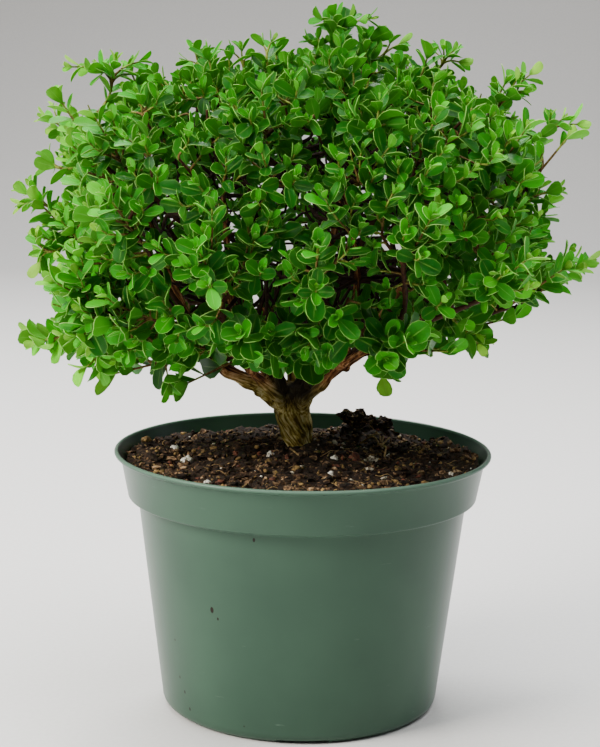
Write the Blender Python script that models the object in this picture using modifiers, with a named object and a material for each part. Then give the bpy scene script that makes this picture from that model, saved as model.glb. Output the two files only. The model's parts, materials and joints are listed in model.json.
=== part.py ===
"""A Japanese boxwood bonsai in a round plastic nursery pot, in metres, +Z up.

The origin is on the surface the pot stands on, under the pot's centre. The tree is grown by rule:
a short trunk parts into limbs, each limb carries twigs, and each twig ends in one leafy spray.
"""
import math
import random

import bmesh
import bpy
import numpy as np
from mathutils import Matrix, Vector, noise
from mathutils.bvhtree import BVHTree

SEED = 7
# The vector noise that bends limbs and twigs keeps a seed of its own, and without one it follows the clock
NOISE_SEED = 1796068971
MM = 0.001
FACE_GAP = 0.0003

# The pot: an eight-inch azalea pot
POT_HEIGHT = 0.1405
LIP_RADIUS = 0.1016
LIP_BEAD = 0.0017
POT_WALL = 0.0014
BAND_TOP = (0.0980, 0.1352)
BAND_FOOT = (0.0943, 0.1158)
BODY_TOP = (0.0886, 0.1140)
BODY_FOOT_RADIUS = 0.0753
POT_CORNER = 0.006
FOOT_INNER_RADIUS = 0.0600
FLOOR_LIFT = 0.0025
POT_SIDES = 34
DRAIN_COUNT = 6
DRAIN_WIDTH = 0.024
DRAIN_HEIGHT = 0.0017
DRAIN_INNER_RADIUS = 0.0625

# The potting mix
SOIL_EDGE_Z = 0.1322
SOIL_SIDE_RISE = 0.0040
SOIL_MOUND = 0.0082
SOIL_MOUND_SPREAD = 0.034
SOIL_LUMP = (0.034, 0.070)
SOIL_LUMP_HEIGHT = 0.0110
SOIL_LUMP_SPREAD = 0.014
SOIL_ROUGHNESS = 0.0030
SOIL_RINGS = 6

# The trunk: height on the axis, sideways place and radius, from the buried end up
TRUNK_Y = 0.012
TRUNK_STATIONS = (
    (0.1000, 0.0000, 0.0045),
    (0.1260, 0.0000, 0.0062),
    (0.1390, -0.0008, 0.0072),
    (0.1480, -0.0032, 0.0090),
    (0.1560, -0.0048, 0.0100),
    (0.1630, -0.0058, 0.0110),
    (0.1690, -0.0064, 0.0100),
    (0.1730, -0.0064, 0.0060),
)
HUB = Vector((-0.0066, TRUNK_Y, 0.1620))

# Where each limb ends, how thick it starts and, for a limb that forks from another, that limb's number
LIMBS = (
    ((0.121, 0.004, 0.2296), 0.0046, None),
    ((-0.106, 0.002, 0.2150), 0.0050, None),
    ((0.062, -0.082, 0.228), 0.0034, None),
    ((-0.064, -0.080, 0.224), 0.0034, None),
    ((0.066, 0.088, 0.232), 0.0036, None),
    ((-0.066, 0.088, 0.234), 0.0036, None),
    ((0.030, 0.006, 0.316), 0.0040, None),
    ((0.088, 0.018, 0.292), 0.0028, 0),
    ((-0.092, 0.020, 0.292), 0.0030, 1),
    ((0.014, -0.062, 0.296), 0.0028, 2),
    ((-0.010, 0.076, 0.298), 0.0028, 5),
    ((-0.044, 0.004, 0.312), 0.0032, 3),
)
# How far out and up a limb bends, as shares of its reach; the right limb climbs before it spreads
LIMB_BEND = (0.40, 0.54)
STEEP_BEND = {0: (0.25, 0.62)}
LIMB_END_RADIUS = 0.0014
LIMB_STEPS = 5
LIMB_FORK = 2

# Pruned stubs: where each starts and ends
STUBS = (
    ((-0.027, 0.012, 0.178), (-0.030, 0.009, 0.171)),
    ((0.021, 0.011, 0.187), (0.0245, 0.009, 0.1815)),
)
STUB_RADIUS = 0.0024

# Inner stems, which crowd the trunk's head between the limbs: where each starts and ends
INNER_STEMS = (
    ((-0.0110, 0.0150, 0.1630), (-0.0230, 0.0230, 0.2140)),
    ((-0.0060, 0.0190, 0.1630), (-0.0050, 0.0340, 0.2160)),
    ((-0.0010, 0.0160, 0.1640), (0.0120, 0.0250, 0.2120)),
    ((-0.0100, 0.0070, 0.1640), (-0.0190, -0.0040, 0.2100)),
    ((-0.0020, 0.0070, 0.1640), (0.0100, -0.0060, 0.2080)),
)
INNER_STEM_RADII = (0.0042, 0.0014)

# The crown: an egg-shaped envelope, and the shoots that reach out of it to left, top and right
CROWN_CENTRE = Vector((0.0, 0.001, 0.262))
CROWN_HALF_WIDTH = 0.146
CROWN_HALF_DEPTH = 0.134
CROWN_RISE = 0.098
CROWN_DROP = 0.070
CROWN_POWER = 2.5
OUTLINE_TIPS = (
    (-0.150, 0.279),
    (-0.134, 0.333),
    (-0.098, 0.349),
    (-0.054, 0.357),
    (-0.018, 0.361),
    (0.014, 0.375),
    (0.064, 0.360),
    (0.108, 0.346),
    (0.141, 0.318),
    (0.136, 0.282),
    (0.150, 0.246),
    (0.120, 0.218),
    (0.092, 0.194),
    (0.046, 0.184),
    (-0.072, 0.172),
    (-0.112, 0.178),
    (-0.150, 0.198),
    (-0.146, 0.238),
)
SPRAY_COUNT = 56
CROWN_LOWEST = -0.62
TIP_DRAWS = 80

# Twigs and leafy sprays
TWIG_BASE_RADIUS = 0.0015
TWIG_END_RADIUS = 0.0010
TWIG_STEPS = 2
TWIG_NECK = 0.003
SPRAY_LENGTH = 0.034
STEM_BASE_RADIUS = 0.0009
STEM_END_RADIUS = 0.0007
LEAF_LENGTH = 0.0180
LEAF_HALF_WIDTH = 0.0062
LEAF_THICKNESS = 0.0007
LEAF_STATIONS = ((0.0, 0.015, 0.0), (0.56, 1.0, 0.06), (1.0, 0.50, 0.0))
LEAF_PAIRS = ((0.10, 66, 1.0), (0.39, 63, 1.0), (0.69, 57, 0.97), (0.98, 38, 0.88))
LEAF_CLEARANCE = 0.0004
GREEN_APART = 0.0045
WOOD_APART = 0.0040
FORK_CHOICES = 3
FORK_TURN_COST = 1.8
WOOD = -1
GOLDEN_ANGLE = math.pi * (3 - math.sqrt(5))


# Scene helpers

def clear_scene():
    for obj in list(bpy.data.objects):
        bpy.data.objects.remove(obj, do_unlink=True)


def new_collection(name):
    collection = bpy.data.collections.new(name)
    bpy.context.scene.collection.children.link(collection)
    return collection


def make_material(name, colour, roughness):
    material = bpy.data.materials.new(name)
    material.use_nodes = True
    shader = material.node_tree.nodes["Principled BSDF"]
    shader.inputs["Base Color"].default_value = (*colour, 1.0)
    shader.inputs["Roughness"].default_value = roughness
    shader.inputs["Metallic"].default_value = 0.0
    return material


def add_object(name, data, collection):
    obj = bpy.data.objects.new(name, data)
    collection.objects.link(obj)
    return obj


def evaluated_mesh(obj):
    """A mesh copy of the object with its modifiers, or its curve bevel, applied."""
    bpy.context.view_layer.update()
    graph = bpy.context.evaluated_depsgraph_get()
    return bpy.data.meshes.new_from_object(obj.evaluated_get(graph))


def tube_mesh(points, radii, resolution):
    """A closed round tube through the points, as a welded mesh."""
    curve = bpy.data.curves.new("tube", "CURVE")
    curve.dimensions = "3D"
    curve.bevel_depth = MM
    curve.bevel_resolution = resolution
    curve.use_fill_caps = True
    spline = curve.splines.new("POLY")
    spline.points.add(len(points) - 1)
    for target, point, radius in zip(spline.points, points, radii):
        target.co = (*point, 1.0)
        target.radius = radius / MM
    guide = add_object("tube", curve, bpy.context.scene.collection)
    mesh = evaluated_mesh(guide)
    bpy.data.objects.remove(guide)
    bm = bmesh.new()
    bm.from_mesh(mesh)
    bmesh.ops.remove_doubles(bm, verts=bm.verts, dist=1e-6)
    bm.to_mesh(mesh)
    bm.free()
    return mesh


def fuse(name, trunk, pieces, collection, material):
    """One solid of the trunk mesh and every piece mesh, by one union."""
    temporary = new_collection(name + "_pieces")
    for number, piece in enumerate(pieces):
        add_object(f"{name}_piece_{number}", piece, temporary)
    base = add_object(name + "_base", trunk, bpy.context.scene.collection)
    union = base.modifiers.new("Union", "BOOLEAN")
    union.operation = "UNION"
    union.operand_type = "COLLECTION"
    union.collection = temporary
    union.solver = "MANIFOLD"
    mesh = evaluated_mesh(base)
    for obj in list(temporary.objects) + [base]:
        bpy.data.objects.remove(obj)
    bpy.data.collections.remove(temporary)
    mesh.name = name
    mesh.materials.clear()
    mesh.materials.append(material)
    return add_object(name, mesh, collection)


# The pot

def pot_profile():
    """Radius and height down the outside and up the inside, from floor centre to floor centre."""
    bead_centre = (LIP_RADIUS - LIP_BEAD, POT_HEIGHT - LIP_BEAD)
    bead = [
        (bead_centre[0] + LIP_BEAD * math.cos(angle), bead_centre[1] + LIP_BEAD * math.sin(angle))
        for angle in (math.radians(a) for a in (180, 110, 40, -25, -90))
    ]
    corner_foot = BODY_FOOT_RADIUS - POT_CORNER
    inner = [
        (0.0, FLOOR_LIFT + POT_WALL),
        (FOOT_INNER_RADIUS - 0.003, FLOOR_LIFT + POT_WALL),
        (FOOT_INNER_RADIUS, POT_WALL),
        (corner_foot, POT_WALL),
        (BODY_FOOT_RADIUS - POT_WALL, POT_CORNER),
        (BODY_TOP[0] - POT_WALL, BODY_TOP[1] + POT_WALL),
        (BAND_FOOT[0] - POT_WALL, BAND_FOOT[1] + POT_WALL),
        (BAND_TOP[0] - POT_WALL, BAND_TOP[1]),
    ]
    outer = [
        BAND_TOP,
        BAND_FOOT,
        (BAND_FOOT[0] - POT_WALL, BODY_TOP[1]),
        BODY_TOP,
        (BODY_FOOT_RADIUS, POT_CORNER),
        (BODY_FOOT_RADIUS - POT_CORNER * 0.3, POT_CORNER * 0.3),
        (corner_foot, 0.0),
        (FOOT_INNER_RADIUS, 0.0),
        (FOOT_INNER_RADIUS - 0.003, FLOOR_LIFT),
        (0.0, FLOOR_LIFT),
    ]
    return inner + bead + outer


def turned_mesh(name, profile, sides):
    """A solid of revolution about Z, turned by a Screw modifier."""
    bm = bmesh.new()
    ring = [bm.verts.new((radius, 0.0, height)) for radius, height in profile]
    for first, second in zip(ring, ring[1:]):
        bm.edges.new((first, second))
    mesh = bpy.data.meshes.new(name)
    bm.to_mesh(mesh)
    bm.free()
    obj = add_object(name, mesh, bpy.context.scene.collection)
    screw = obj.modifiers.new("Screw", "SCREW")
    screw.axis = "Z"
    screw.steps = sides
    screw.render_steps = sides
    screw.use_merge_vertices = True
    screw.merge_threshold = 0.00001
    turned = evaluated_mesh(obj)
    bpy.data.objects.remove(obj)
    return turned


def drain_cutters(collection):
    """Boxes through the foot, where the drain slots open to the side and down."""
    depth = BODY_FOOT_RADIUS + 0.004 - DRAIN_INNER_RADIUS
    for number in range(DRAIN_COUNT):
        angle = math.radians(-90) + number * math.tau / DRAIN_COUNT
        bm = bmesh.new()
        bmesh.ops.create_cube(bm, size=1.0)
        bmesh.ops.scale(bm, vec=(depth, DRAIN_WIDTH, DRAIN_HEIGHT * 2), verts=bm.verts)
        bmesh.ops.translate(bm, vec=(DRAIN_INNER_RADIUS + depth / 2, 0, 0), verts=bm.verts)
        bmesh.ops.rotate(bm, matrix=Matrix.Rotation(angle, 3, "Z"), verts=bm.verts)
        mesh = bpy.data.meshes.new("drain_cutter")
        bm.to_mesh(mesh)
        bm.free()
        cutter = add_object(f"drain_cutter_{number}", mesh, collection)
        cutter.hide_render = True
        cutter.display_type = "WIRE"


def make_pot(collection, cutters, material):
    pot = add_object("pot", turned_mesh("pot", pot_profile(), POT_SIDES), collection)
    pot.data.materials.append(material)
    drain_cutters(cutters)
    slots = pot.modifiers.new("Drain slots", "BOOLEAN")
    slots.operation = "DIFFERENCE"
    slots.operand_type = "COLLECTION"
    slots.collection = cutters
    slots.solver = "MANIFOLD"
    pot.data.shade_smooth()
    pot.data.set_sharp_from_angle(angle=math.radians(35))
    return pot


# The potting mix

def soil_height(x, y):
    """Height of the mix's top: a low mound, higher sides, a lump at the back and a crumbly relief."""
    sides = SOIL_SIDE_RISE * min(1.0, abs(x) / BAND_FOOT[0]) ** 3
    from_trunk = math.hypot(x - TRUNK_STATIONS[2][1], y - TRUNK_Y)
    mound = SOIL_MOUND * math.exp(-((from_trunk / SOIL_MOUND_SPREAD) ** 2))
    from_lump = math.hypot(x - SOIL_LUMP[0], y - SOIL_LUMP[1])
    lump = SOIL_LUMP_HEIGHT * math.exp(-((from_lump / SOIL_LUMP_SPREAD) ** 2))
    crumbs = SOIL_ROUGHNESS * noise.noise(Vector((x * 70, y * 70, 3.7)))
    return SOIL_EDGE_Z + sides + mound + lump + crumbs


def make_soil(collection, cutters, material):
    """The mix fills the pot to a gap's width from its wall, and has a plain hole for the trunk."""
    wall_radius = BODY_TOP[0] - POT_WALL
    band_slope = (BAND_TOP[0] - BAND_FOOT[0]) / (BAND_TOP[1] - BAND_FOOT[1])
    edge_radius = BAND_FOOT[0] - POT_WALL + band_slope * (SOIL_EDGE_Z - BAND_FOOT[1]) - 2 * FACE_GAP
    floor_z = FLOOR_LIFT + POT_WALL + FACE_GAP
    top = [
        (edge_radius * ring / SOIL_RINGS, SOIL_EDGE_Z)
        for ring in range(SOIL_RINGS + 1)
    ]
    side = [
        (BAND_FOOT[0] - POT_WALL - 2 * FACE_GAP, BAND_FOOT[1] + POT_WALL + FACE_GAP),
        (wall_radius - 2 * FACE_GAP, BODY_TOP[1] + POT_WALL + FACE_GAP),
        (BODY_FOOT_RADIUS - POT_WALL - 2 * FACE_GAP, POT_CORNER),
        (BODY_FOOT_RADIUS - POT_CORNER - 2 * FACE_GAP, floor_z),
        (0.0, floor_z),
    ]
    mesh = turned_mesh("soil", top + side, POT_SIDES)
    for vertex in mesh.vertices:
        if vertex.co.z > SOIL_EDGE_Z - FACE_GAP:
            vertex.co.z = soil_height(vertex.co.x, vertex.co.y)
    mesh.materials.append(material)
    soil = add_object("soil", mesh, collection)
    foot_z, foot_x, foot_radius = TRUNK_STATIONS[0]
    neck_z, _, neck_radius = TRUNK_STATIONS[2]
    growth = (neck_radius - foot_radius) / (neck_z - foot_z)
    top_z = 0.155
    bm = bmesh.new()
    bmesh.ops.create_cone(
        bm,
        cap_ends=True,
        segments=16,
        radius1=foot_radius + 0.0012,
        radius2=foot_radius + 0.0012 + growth * (top_z - foot_z),
        depth=top_z - foot_z + FACE_GAP,
    )
    bmesh.ops.translate(bm, vec=(foot_x, TRUNK_Y, (top_z + foot_z - FACE_GAP) / 2), verts=bm.verts)
    hole = bpy.data.meshes.new("trunk_hole")
    bm.to_mesh(hole)
    bm.free()
    cutter = add_object("trunk_hole_cutter", hole, cutters)
    cutter.hide_render = True
    cutter.display_type = "WIRE"
    cut = soil.modifiers.new("Trunk hole", "BOOLEAN")
    cut.operation = "DIFFERENCE"
    cut.object = cutter
    cut.solver = "MANIFOLD"
    return soil


# Growth of the tree

def bezier(points, steps):
    """Points along a Bezier curve of any degree."""
    path = []
    for step in range(steps + 1):
        share = step / steps
        level = [Vector(p) for p in points]
        while len(level) > 1:
            level = [a.lerp(b, share) for a, b in zip(level, level[1:])]
        path.append(level[0])
    return path


def wandering(path, amount):
    """The path with a gentle crookedness between its two ends."""
    last = len(path) - 1
    return [
        point + noise.noise_vector(point * 35) * amount * math.sin(math.pi * number / last)
        for number, point in enumerate(path)
    ]


def limb_paths():
    """Each limb leaves the trunk's head, or the limb it forks from, steeply and levels out to its end."""
    paths = []
    for number, (end, _, parent) in enumerate(LIMBS):
        end = Vector(end)
        if parent is None:
            out, up = STEEP_BEND.get(number, LIMB_BEND)
            outward = Vector((end.x - HUB.x, end.y - HUB.y, 0))
            start = HUB + outward.normalized() * 0.004
            bend = start + outward * out + Vector((0, 0, (end.z - start.z) * up))
        else:
            start = paths[parent][LIMB_FORK]
            along = (paths[parent][LIMB_FORK] - paths[parent][LIMB_FORK - 1]).normalized()
            reach = (end - start).length
            bend = start + (along + Vector((0, 0, 0.8))) * reach * 0.28
        paths.append(wandering(bezier((start, bend, end), LIMB_STEPS), 0.004))
    return paths


def envelope_point(direction):
    """Where the crown's surface lies in a direction from its centre."""
    height = CROWN_RISE if direction.z > 0 else CROWN_DROP
    share = (
        abs(direction.x / CROWN_HALF_WIDTH) ** CROWN_POWER
        + abs(direction.y / CROWN_HALF_DEPTH) ** CROWN_POWER
        + abs(direction.z / height) ** CROWN_POWER
    )
    return CROWN_CENTRE + direction * share ** (-1 / CROWN_POWER)


def spray_tips(draw):
    """The outline's own tips, then more over the crown, each the one of many draws with the most room."""
    tips = [Vector((x, draw.uniform(-0.016, 0.024), z)) for x, z in OUTLINE_TIPS]
    while len(tips) < SPRAY_COUNT:
        draws = []
        for _ in range(TIP_DRAWS):
            lift = draw.uniform(CROWN_LOWEST, 1)
            around = draw.uniform(0, math.tau)
            level = math.sqrt(1 - lift * lift)
            direction = Vector((level * math.cos(around), level * math.sin(around), lift))
            draws.append(envelope_point(direction))
        tips.append(max(draws, key=lambda point: min((point - tip).length for tip in tips)))
    return tips


def spray_heading(tip):
    """A spray grows out from the crown's heart, and turns up the higher it stands."""
    outward = (tip - Vector((0, 0.008, 0.205))).normalized()
    lift = max(0.0, min(1.0, (tip.z - 0.190) / 0.060))
    return (outward + Vector((0, 0, 0.40 * lift))).normalized()


def forks(limbs, base, heading):
    """Points of the limbs to grow a twig from, the one that reaches the spray's base most directly first."""
    found = []
    for path in limbs:
        for number in range(2, len(path)):
            along = (path[number] - path[number - 1]).normalized()
            reach = base - path[number]
            if reach.length < 0.008:
                continue
            turn = 2 - along.dot(reach.normalized()) - heading.dot(reach.normalized())
            found.append((reach.length * (1 + FORK_TURN_COST * turn), number, path[number], along))
    return [(point, along) for _, _, point, along in sorted(found, key=lambda fork: fork[:2])]


def dense(path):
    """The path as points about a millimetre apart."""
    rows = []
    for first, second in zip(path, path[1:]):
        count = max(2, int((second - first).length / MM))
        rows.extend(tuple(first.lerp(second, step / count)) for step in range(count + 1))
    return np.array(rows)


def nearness(points, others):
    """The shortest distance from any of the points to any of the others."""
    if not len(others):
        return 1.0
    return np.linalg.norm(points[:, None] - others[None], axis=2).min()


def spray_axes(tip, turn):
    """The stem and the leaf plane of a spray that ends in this tip."""
    heading = spray_heading(tip)
    foot = tip - heading * (SPRAY_LENGTH + LEAF_LENGTH * 0.62)
    base = foot + heading * FACE_GAP
    across = heading.orthogonal().normalized()
    across.rotate(Matrix.Rotation(turn, 3, heading))
    return {
        "foot": foot,
        "heading": heading,
        "across": across,
        "stem": (base, base + heading * SPRAY_LENGTH),
    }


def twig_path(fork, along, foot, heading):
    reach = (foot - fork).length
    neck = foot - heading * TWIG_NECK
    bends = (fork, fork + along * reach * 0.35, neck - heading * reach * 0.30, neck)
    return wandering(bezier(bends, TWIG_STEPS), 0.002) + [foot]


def grow():
    """Limbs, twigs and sprays: paths only. A twig or spray that would cross another is grown otherwise."""
    draw = random.Random(SEED)
    noise.seed_set(NOISE_SEED)
    limbs = limb_paths()
    wood = np.concatenate([dense(path) for path in limbs])
    green = np.empty((0, 3))
    twigs = []
    sprays = []
    for number, tip in enumerate(spray_tips(draw)):
        for trial in range(60):
            shift = Vector((draw.uniform(-1, 1), draw.uniform(-1, 1), 0)) * 0.0008 * trial
            spray = spray_axes(tip + shift, number * GOLDEN_ANGLE + trial * 0.7)
            new_green = dense(spray["stem"])
            if nearness(new_green, green) < GREEN_APART or nearness(new_green, wood) < WOOD_APART:
                continue
            fork, along = forks(limbs, spray["foot"], spray["heading"])[trial % FORK_CHOICES]
            twig = twig_path(fork, along, spray["foot"], spray["heading"])
            new_wood = dense(twig)
            if nearness(new_wood, green) >= WOOD_APART:
                break
        else:
            print("no room for spray", number + 1)
            continue
        twigs.append(twig)
        sprays.append(spray)
        green = np.concatenate([green, new_green])
        wood = np.concatenate([wood, new_wood])
    return limbs, twigs, sprays


# Wood

def tapering(first, last, count):
    return [first + (last - first) * number / (count - 1) for number in range(count)]


def limb_radii(base, count):
    return [
        LIMB_END_RADIUS + (base - LIMB_END_RADIUS) * (1 - number / (count - 1)) ** 1.2
        for number in range(count)
    ]


def make_wood(limbs, twigs, collection, material):
    """Trunk, limbs, pruned stubs and twigs grown together as one solid."""
    trunk_path = [Vector((x, TRUNK_Y, z)) for z, x, _ in TRUNK_STATIONS]
    trunk = tube_mesh(trunk_path, [station[2] for station in TRUNK_STATIONS], 3)
    pieces = [
        tube_mesh(path, limb_radii(base, len(path)), 1)
        for path, (_, base, _) in zip(limbs, LIMBS)
    ]
    for start, end in STUBS:
        pieces.append(tube_mesh([Vector(start), Vector(end)], [STUB_RADIUS, STUB_RADIUS * 0.85], 1))
    for start, end in INNER_STEMS:
        path = wandering(bezier((Vector(start), Vector(end)), 3), 0.004)
        pieces.append(tube_mesh(path, tapering(*INNER_STEM_RADII, len(path)), 1))
    for path in twigs:
        radii = tapering(TWIG_BASE_RADIUS, TWIG_END_RADIUS, len(path))
        pieces.append(tube_mesh(path, radii, 0))
    return fuse("trunk_and_branches", trunk, pieces, collection, material)


# Leafy sprays

def stem_mesh(ends, flat, base_radius, end_radius):
    """A four-sided tapering stem between two points, one of its flats facing the way that it is told."""
    start, end = ends
    heading = (end - start).normalized()
    turn = Matrix((flat, heading.cross(flat), heading)).transposed().to_4x4()
    bm = bmesh.new()
    bmesh.ops.create_cone(
        bm,
        cap_ends=True,
        segments=4,
        radius1=base_radius,
        radius2=end_radius,
        depth=(end - start).length,
        matrix=Matrix.Translation((start + end) / 2) @ turn @ Matrix.Rotation(math.radians(45), 4, "Z"),
    )
    mesh = bpy.data.meshes.new("stem")
    bm.to_mesh(mesh)
    bm.free()
    return mesh


def moved_on(bm, face, places):
    """Draws a face out to new places, with walls behind it, and returns it."""
    drawn = bmesh.ops.extrude_discrete_faces(bm, faces=[face])["faces"][0]
    for vertex in drawn.verts:
        vertex.co = places(vertex.co)
    return drawn


def leafy_mesh(spray, leaves):
    """One closed mesh: a four-sided tapering stem with its leaves drawn out of its flats.

    leaves holds the number of each leaf's pair, the way that the leaf leaves the stem, and its placing.
    """
    base, end = spray["stem"]
    heading = spray["heading"]
    length = (end - base).length
    turn = Matrix((spray["across"], heading.cross(spray["across"]), heading)).transposed().to_4x4()
    half = LEAF_THICKNESS / 2
    levels = [0.0]
    for share, _, _ in LEAF_PAIRS:
        levels += [share * length - half, share * length + half]
    levels.append(length)
    bm = bmesh.new()
    bmesh.ops.create_circle(
        bm,
        cap_ends=True,
        segments=4,
        radius=STEM_BASE_RADIUS,
        matrix=Matrix.Translation(base) @ turn @ Matrix.Rotation(math.radians(45), 4, "Z"),
    )
    top = bm.faces[:][0]
    bands = []
    for lower, upper in zip(levels, levels[1:]):
        radii = [STEM_BASE_RADIUS + (STEM_END_RADIUS - STEM_BASE_RADIUS) * z / length for z in (lower, upper)]
        old_axis, new_axis = base + heading * lower, base + heading * upper
        top = moved_on(bm, top, lambda place: new_axis + (place - old_axis) * radii[1] / radii[0])
        bands.append([face for edge in top.edges for face in edge.link_faces if face is not top])
    for pair, way, placing in leaves:
        flats = [face for face in bands[2 * pair + 1] if face.is_valid]
        flat = max(flats, key=lambda face: (face.calc_center_median() - base).dot(way))
        side = placing.to_3x3().col[1]
        rising = heading
        for along, width, rise in LEAF_STATIONS[1:]:
            middle = flat.calc_center_median()

            def corner(place):
                out = place - middle
                hand = math.copysign(width * LEAF_HALF_WIDTH, out.dot(side))
                level = math.copysign(half, out.dot(rising))
                return placing @ Vector((along * LEAF_LENGTH, hand, rise * LEAF_LENGTH + level))

            flat = moved_on(bm, flat, corner)
            rising = placing.to_3x3().col[2]
    bmesh.ops.holes_fill(bm, edges=[edge for edge in bm.edges if edge.is_boundary], sides=4)
    bmesh.ops.recalc_face_normals(bm, faces=bm.faces)
    mesh = bpy.data.meshes.new("leafy_spray")
    bm.to_mesh(mesh)
    bm.free()
    return mesh


def leaf_mesh(thickness):
    """One leaf along +X, arched: narrow at the root, widest past the middle, and blunt at the tip."""
    bm = bmesh.new()
    bmesh.ops.create_grid(bm, x_segments=2, y_segments=1, size=0.5)
    for vertex in bm.verts:
        side = round(vertex.co.y * 2)
        along, width, rise = LEAF_STATIONS[round(vertex.co.x * 2) + 1]
        lift = rise * LEAF_LENGTH - thickness / 2
        vertex.co = (along * LEAF_LENGTH, side * width * LEAF_HALF_WIDTH, lift)
    upper = bmesh.ops.extrude_face_region(bm, geom=bm.faces[:], use_keep_orig=True)
    raised = [item for item in upper["geom"] if isinstance(item, bmesh.types.BMVert)]
    bmesh.ops.translate(bm, vec=(0, 0, thickness), verts=raised)
    bmesh.ops.recalc_face_normals(bm, faces=bm.faces)
    mesh = bpy.data.meshes.new("leaf")
    bm.to_mesh(mesh)
    bm.free()
    return mesh


def leaf_placing(point, heading, across, opening, size):
    """The matrix that sets a leaf at a point of a stem, opened away from the stem's heading."""
    along = heading * math.cos(opening) + across * math.sin(opening)
    upper = heading * math.sin(opening) - across * math.cos(opening)
    turn = Matrix((along, upper.cross(along), upper)).transposed().to_4x4()
    return Matrix.Translation(point) @ turn @ Matrix.Scale(size, 4)


def leaf_stations(spray):
    """Pairs of leaves on a spray, each across from the last: its place, plane, opening and size."""
    base, end = spray["stem"]
    planes = (spray["across"], spray["heading"].cross(spray["across"]))
    return [
        (base.lerp(end, share), planes[number % 2], math.radians(opening), size)
        for number, (share, opening, size) in enumerate(LEAF_PAIRS)
    ]


def bounding_tree(mesh, matrix):
    """The mesh's middle, reach and search tree once a matrix has placed it."""
    vertices = [matrix @ vertex.co for vertex in mesh.vertices]
    centre = sum(vertices, Vector()) / len(vertices)
    reach = max((vertex - centre).length for vertex in vertices)
    faces = [tuple(polygon.vertices) for polygon in mesh.polygons]
    return centre, reach, BVHTree.FromPolygons(vertices, faces)


class Space:
    """The solids grown so far, so that a new leaf is turned clear of those that it would cross."""

    def __init__(self):
        self.taken = []

    def add(self, owner, is_leaf, mesh, matrix):
        self.taken.append((owner, is_leaf, *bounding_tree(mesh, matrix)))

    def blocked(self, owner, whole, rootless, matrix):
        """Whether the whole leaf meets another spray or the wood, or its outer part a leaf of its own."""
        whole_tree = bounding_tree(whole, matrix)
        rootless_tree = bounding_tree(rootless, matrix)
        for other, is_leaf, other_centre, other_reach, other_tree in self.taken:
            if other == owner and not is_leaf:
                continue
            centre, reach, tree = rootless_tree if other == owner else whole_tree
            if (centre - other_centre).length < reach + other_reach and tree.overlap(other_tree):
                return True
        return False


def leaf_with_clearance(root):
    """A thicker leaf, cut short at its root, for the test of what a leaf would cross."""
    fat = leaf_mesh(LEAF_THICKNESS + 2 * LEAF_CLEARANCE)
    for vertex in fat.vertices:
        vertex.co.x = LEAF_LENGTH * root + vertex.co.x * (1.04 - root)
    return fat


def make_sprays(sprays, wood, collection, material):
    """A solid for each spray, with every leaf that finds room between the others."""
    leaf = leaf_mesh(LEAF_THICKNESS)
    whole = leaf_with_clearance(0.0)
    rootless = leaf_with_clearance(0.12)
    space = Space()
    space.add(WOOD, False, wood.data, Matrix())
    for number, spray in enumerate(sprays):
        stem = stem_mesh(spray["stem"], spray["across"], STEM_BASE_RADIUS, STEM_END_RADIUS)
        space.add(number, False, stem, Matrix())
    for number, spray in enumerate(sprays):
        heading = spray["heading"]
        leaves = []
        for pair, (point, across, opening, size) in enumerate(leaf_stations(spray)):
            for hand in (1, -1):
                for turn, change in ((0, 0), (18, 0), (-18, 0), (0, -16), (30, -10), (-30, -10), (0, -26)):
                    way = (across * hand).copy()
                    way.rotate(Matrix.Rotation(math.radians(turn), 3, heading))
                    placing = leaf_placing(point, heading, way, opening + math.radians(change), size)
                    if not space.blocked(number, whole, rootless, placing):
                        leaves.append((pair, across * hand, placing))
                        space.add(number, True, leaf, placing)
                        break
        mesh = leafy_mesh(spray, leaves)
        mesh.materials.append(material)
        add_object(f"leafy_spray_{number + 1:02d}", mesh, collection)


def main():
    clear_scene()
    parts = new_collection("boxwood_bonsai")
    pot_cutters = new_collection("pot_cutters")
    soil_cutters = new_collection("soil_cutters")
    pot_plastic = make_material("pot_plastic", (0.13, 0.25, 0.19), 0.38)
    potting_mix = make_material("potting_mix", (0.035, 0.020, 0.013), 0.95)
    bark = make_material("bark", (0.16, 0.11, 0.055), 0.85)
    leaf_green = make_material("leaf_green", (0.06, 0.24, 0.02), 0.35)
    make_pot(parts, pot_cutters, pot_plastic)
    make_soil(parts, soil_cutters, potting_mix)
    limbs, twigs, sprays = grow()
    wood = make_wood(limbs, twigs, parts, bark)
    make_sprays(sprays, wood, parts, leaf_green)


main()
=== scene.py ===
"""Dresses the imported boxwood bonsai: its pot, potting mix, wood and leafy sprays, in a small studio."""

import json
import logging
import math
import random
from dataclasses import dataclass, field
from enum import Enum
from typing import Any, Callable, Iterable, Sequence

import bmesh
import bpy
import numpy as np
from bpy.types import Material, Mesh, Node, NodeSocket, NodeTree, Object
from mathutils import Matrix, Vector, noise
from mathutils.kdtree import KDTree

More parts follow.
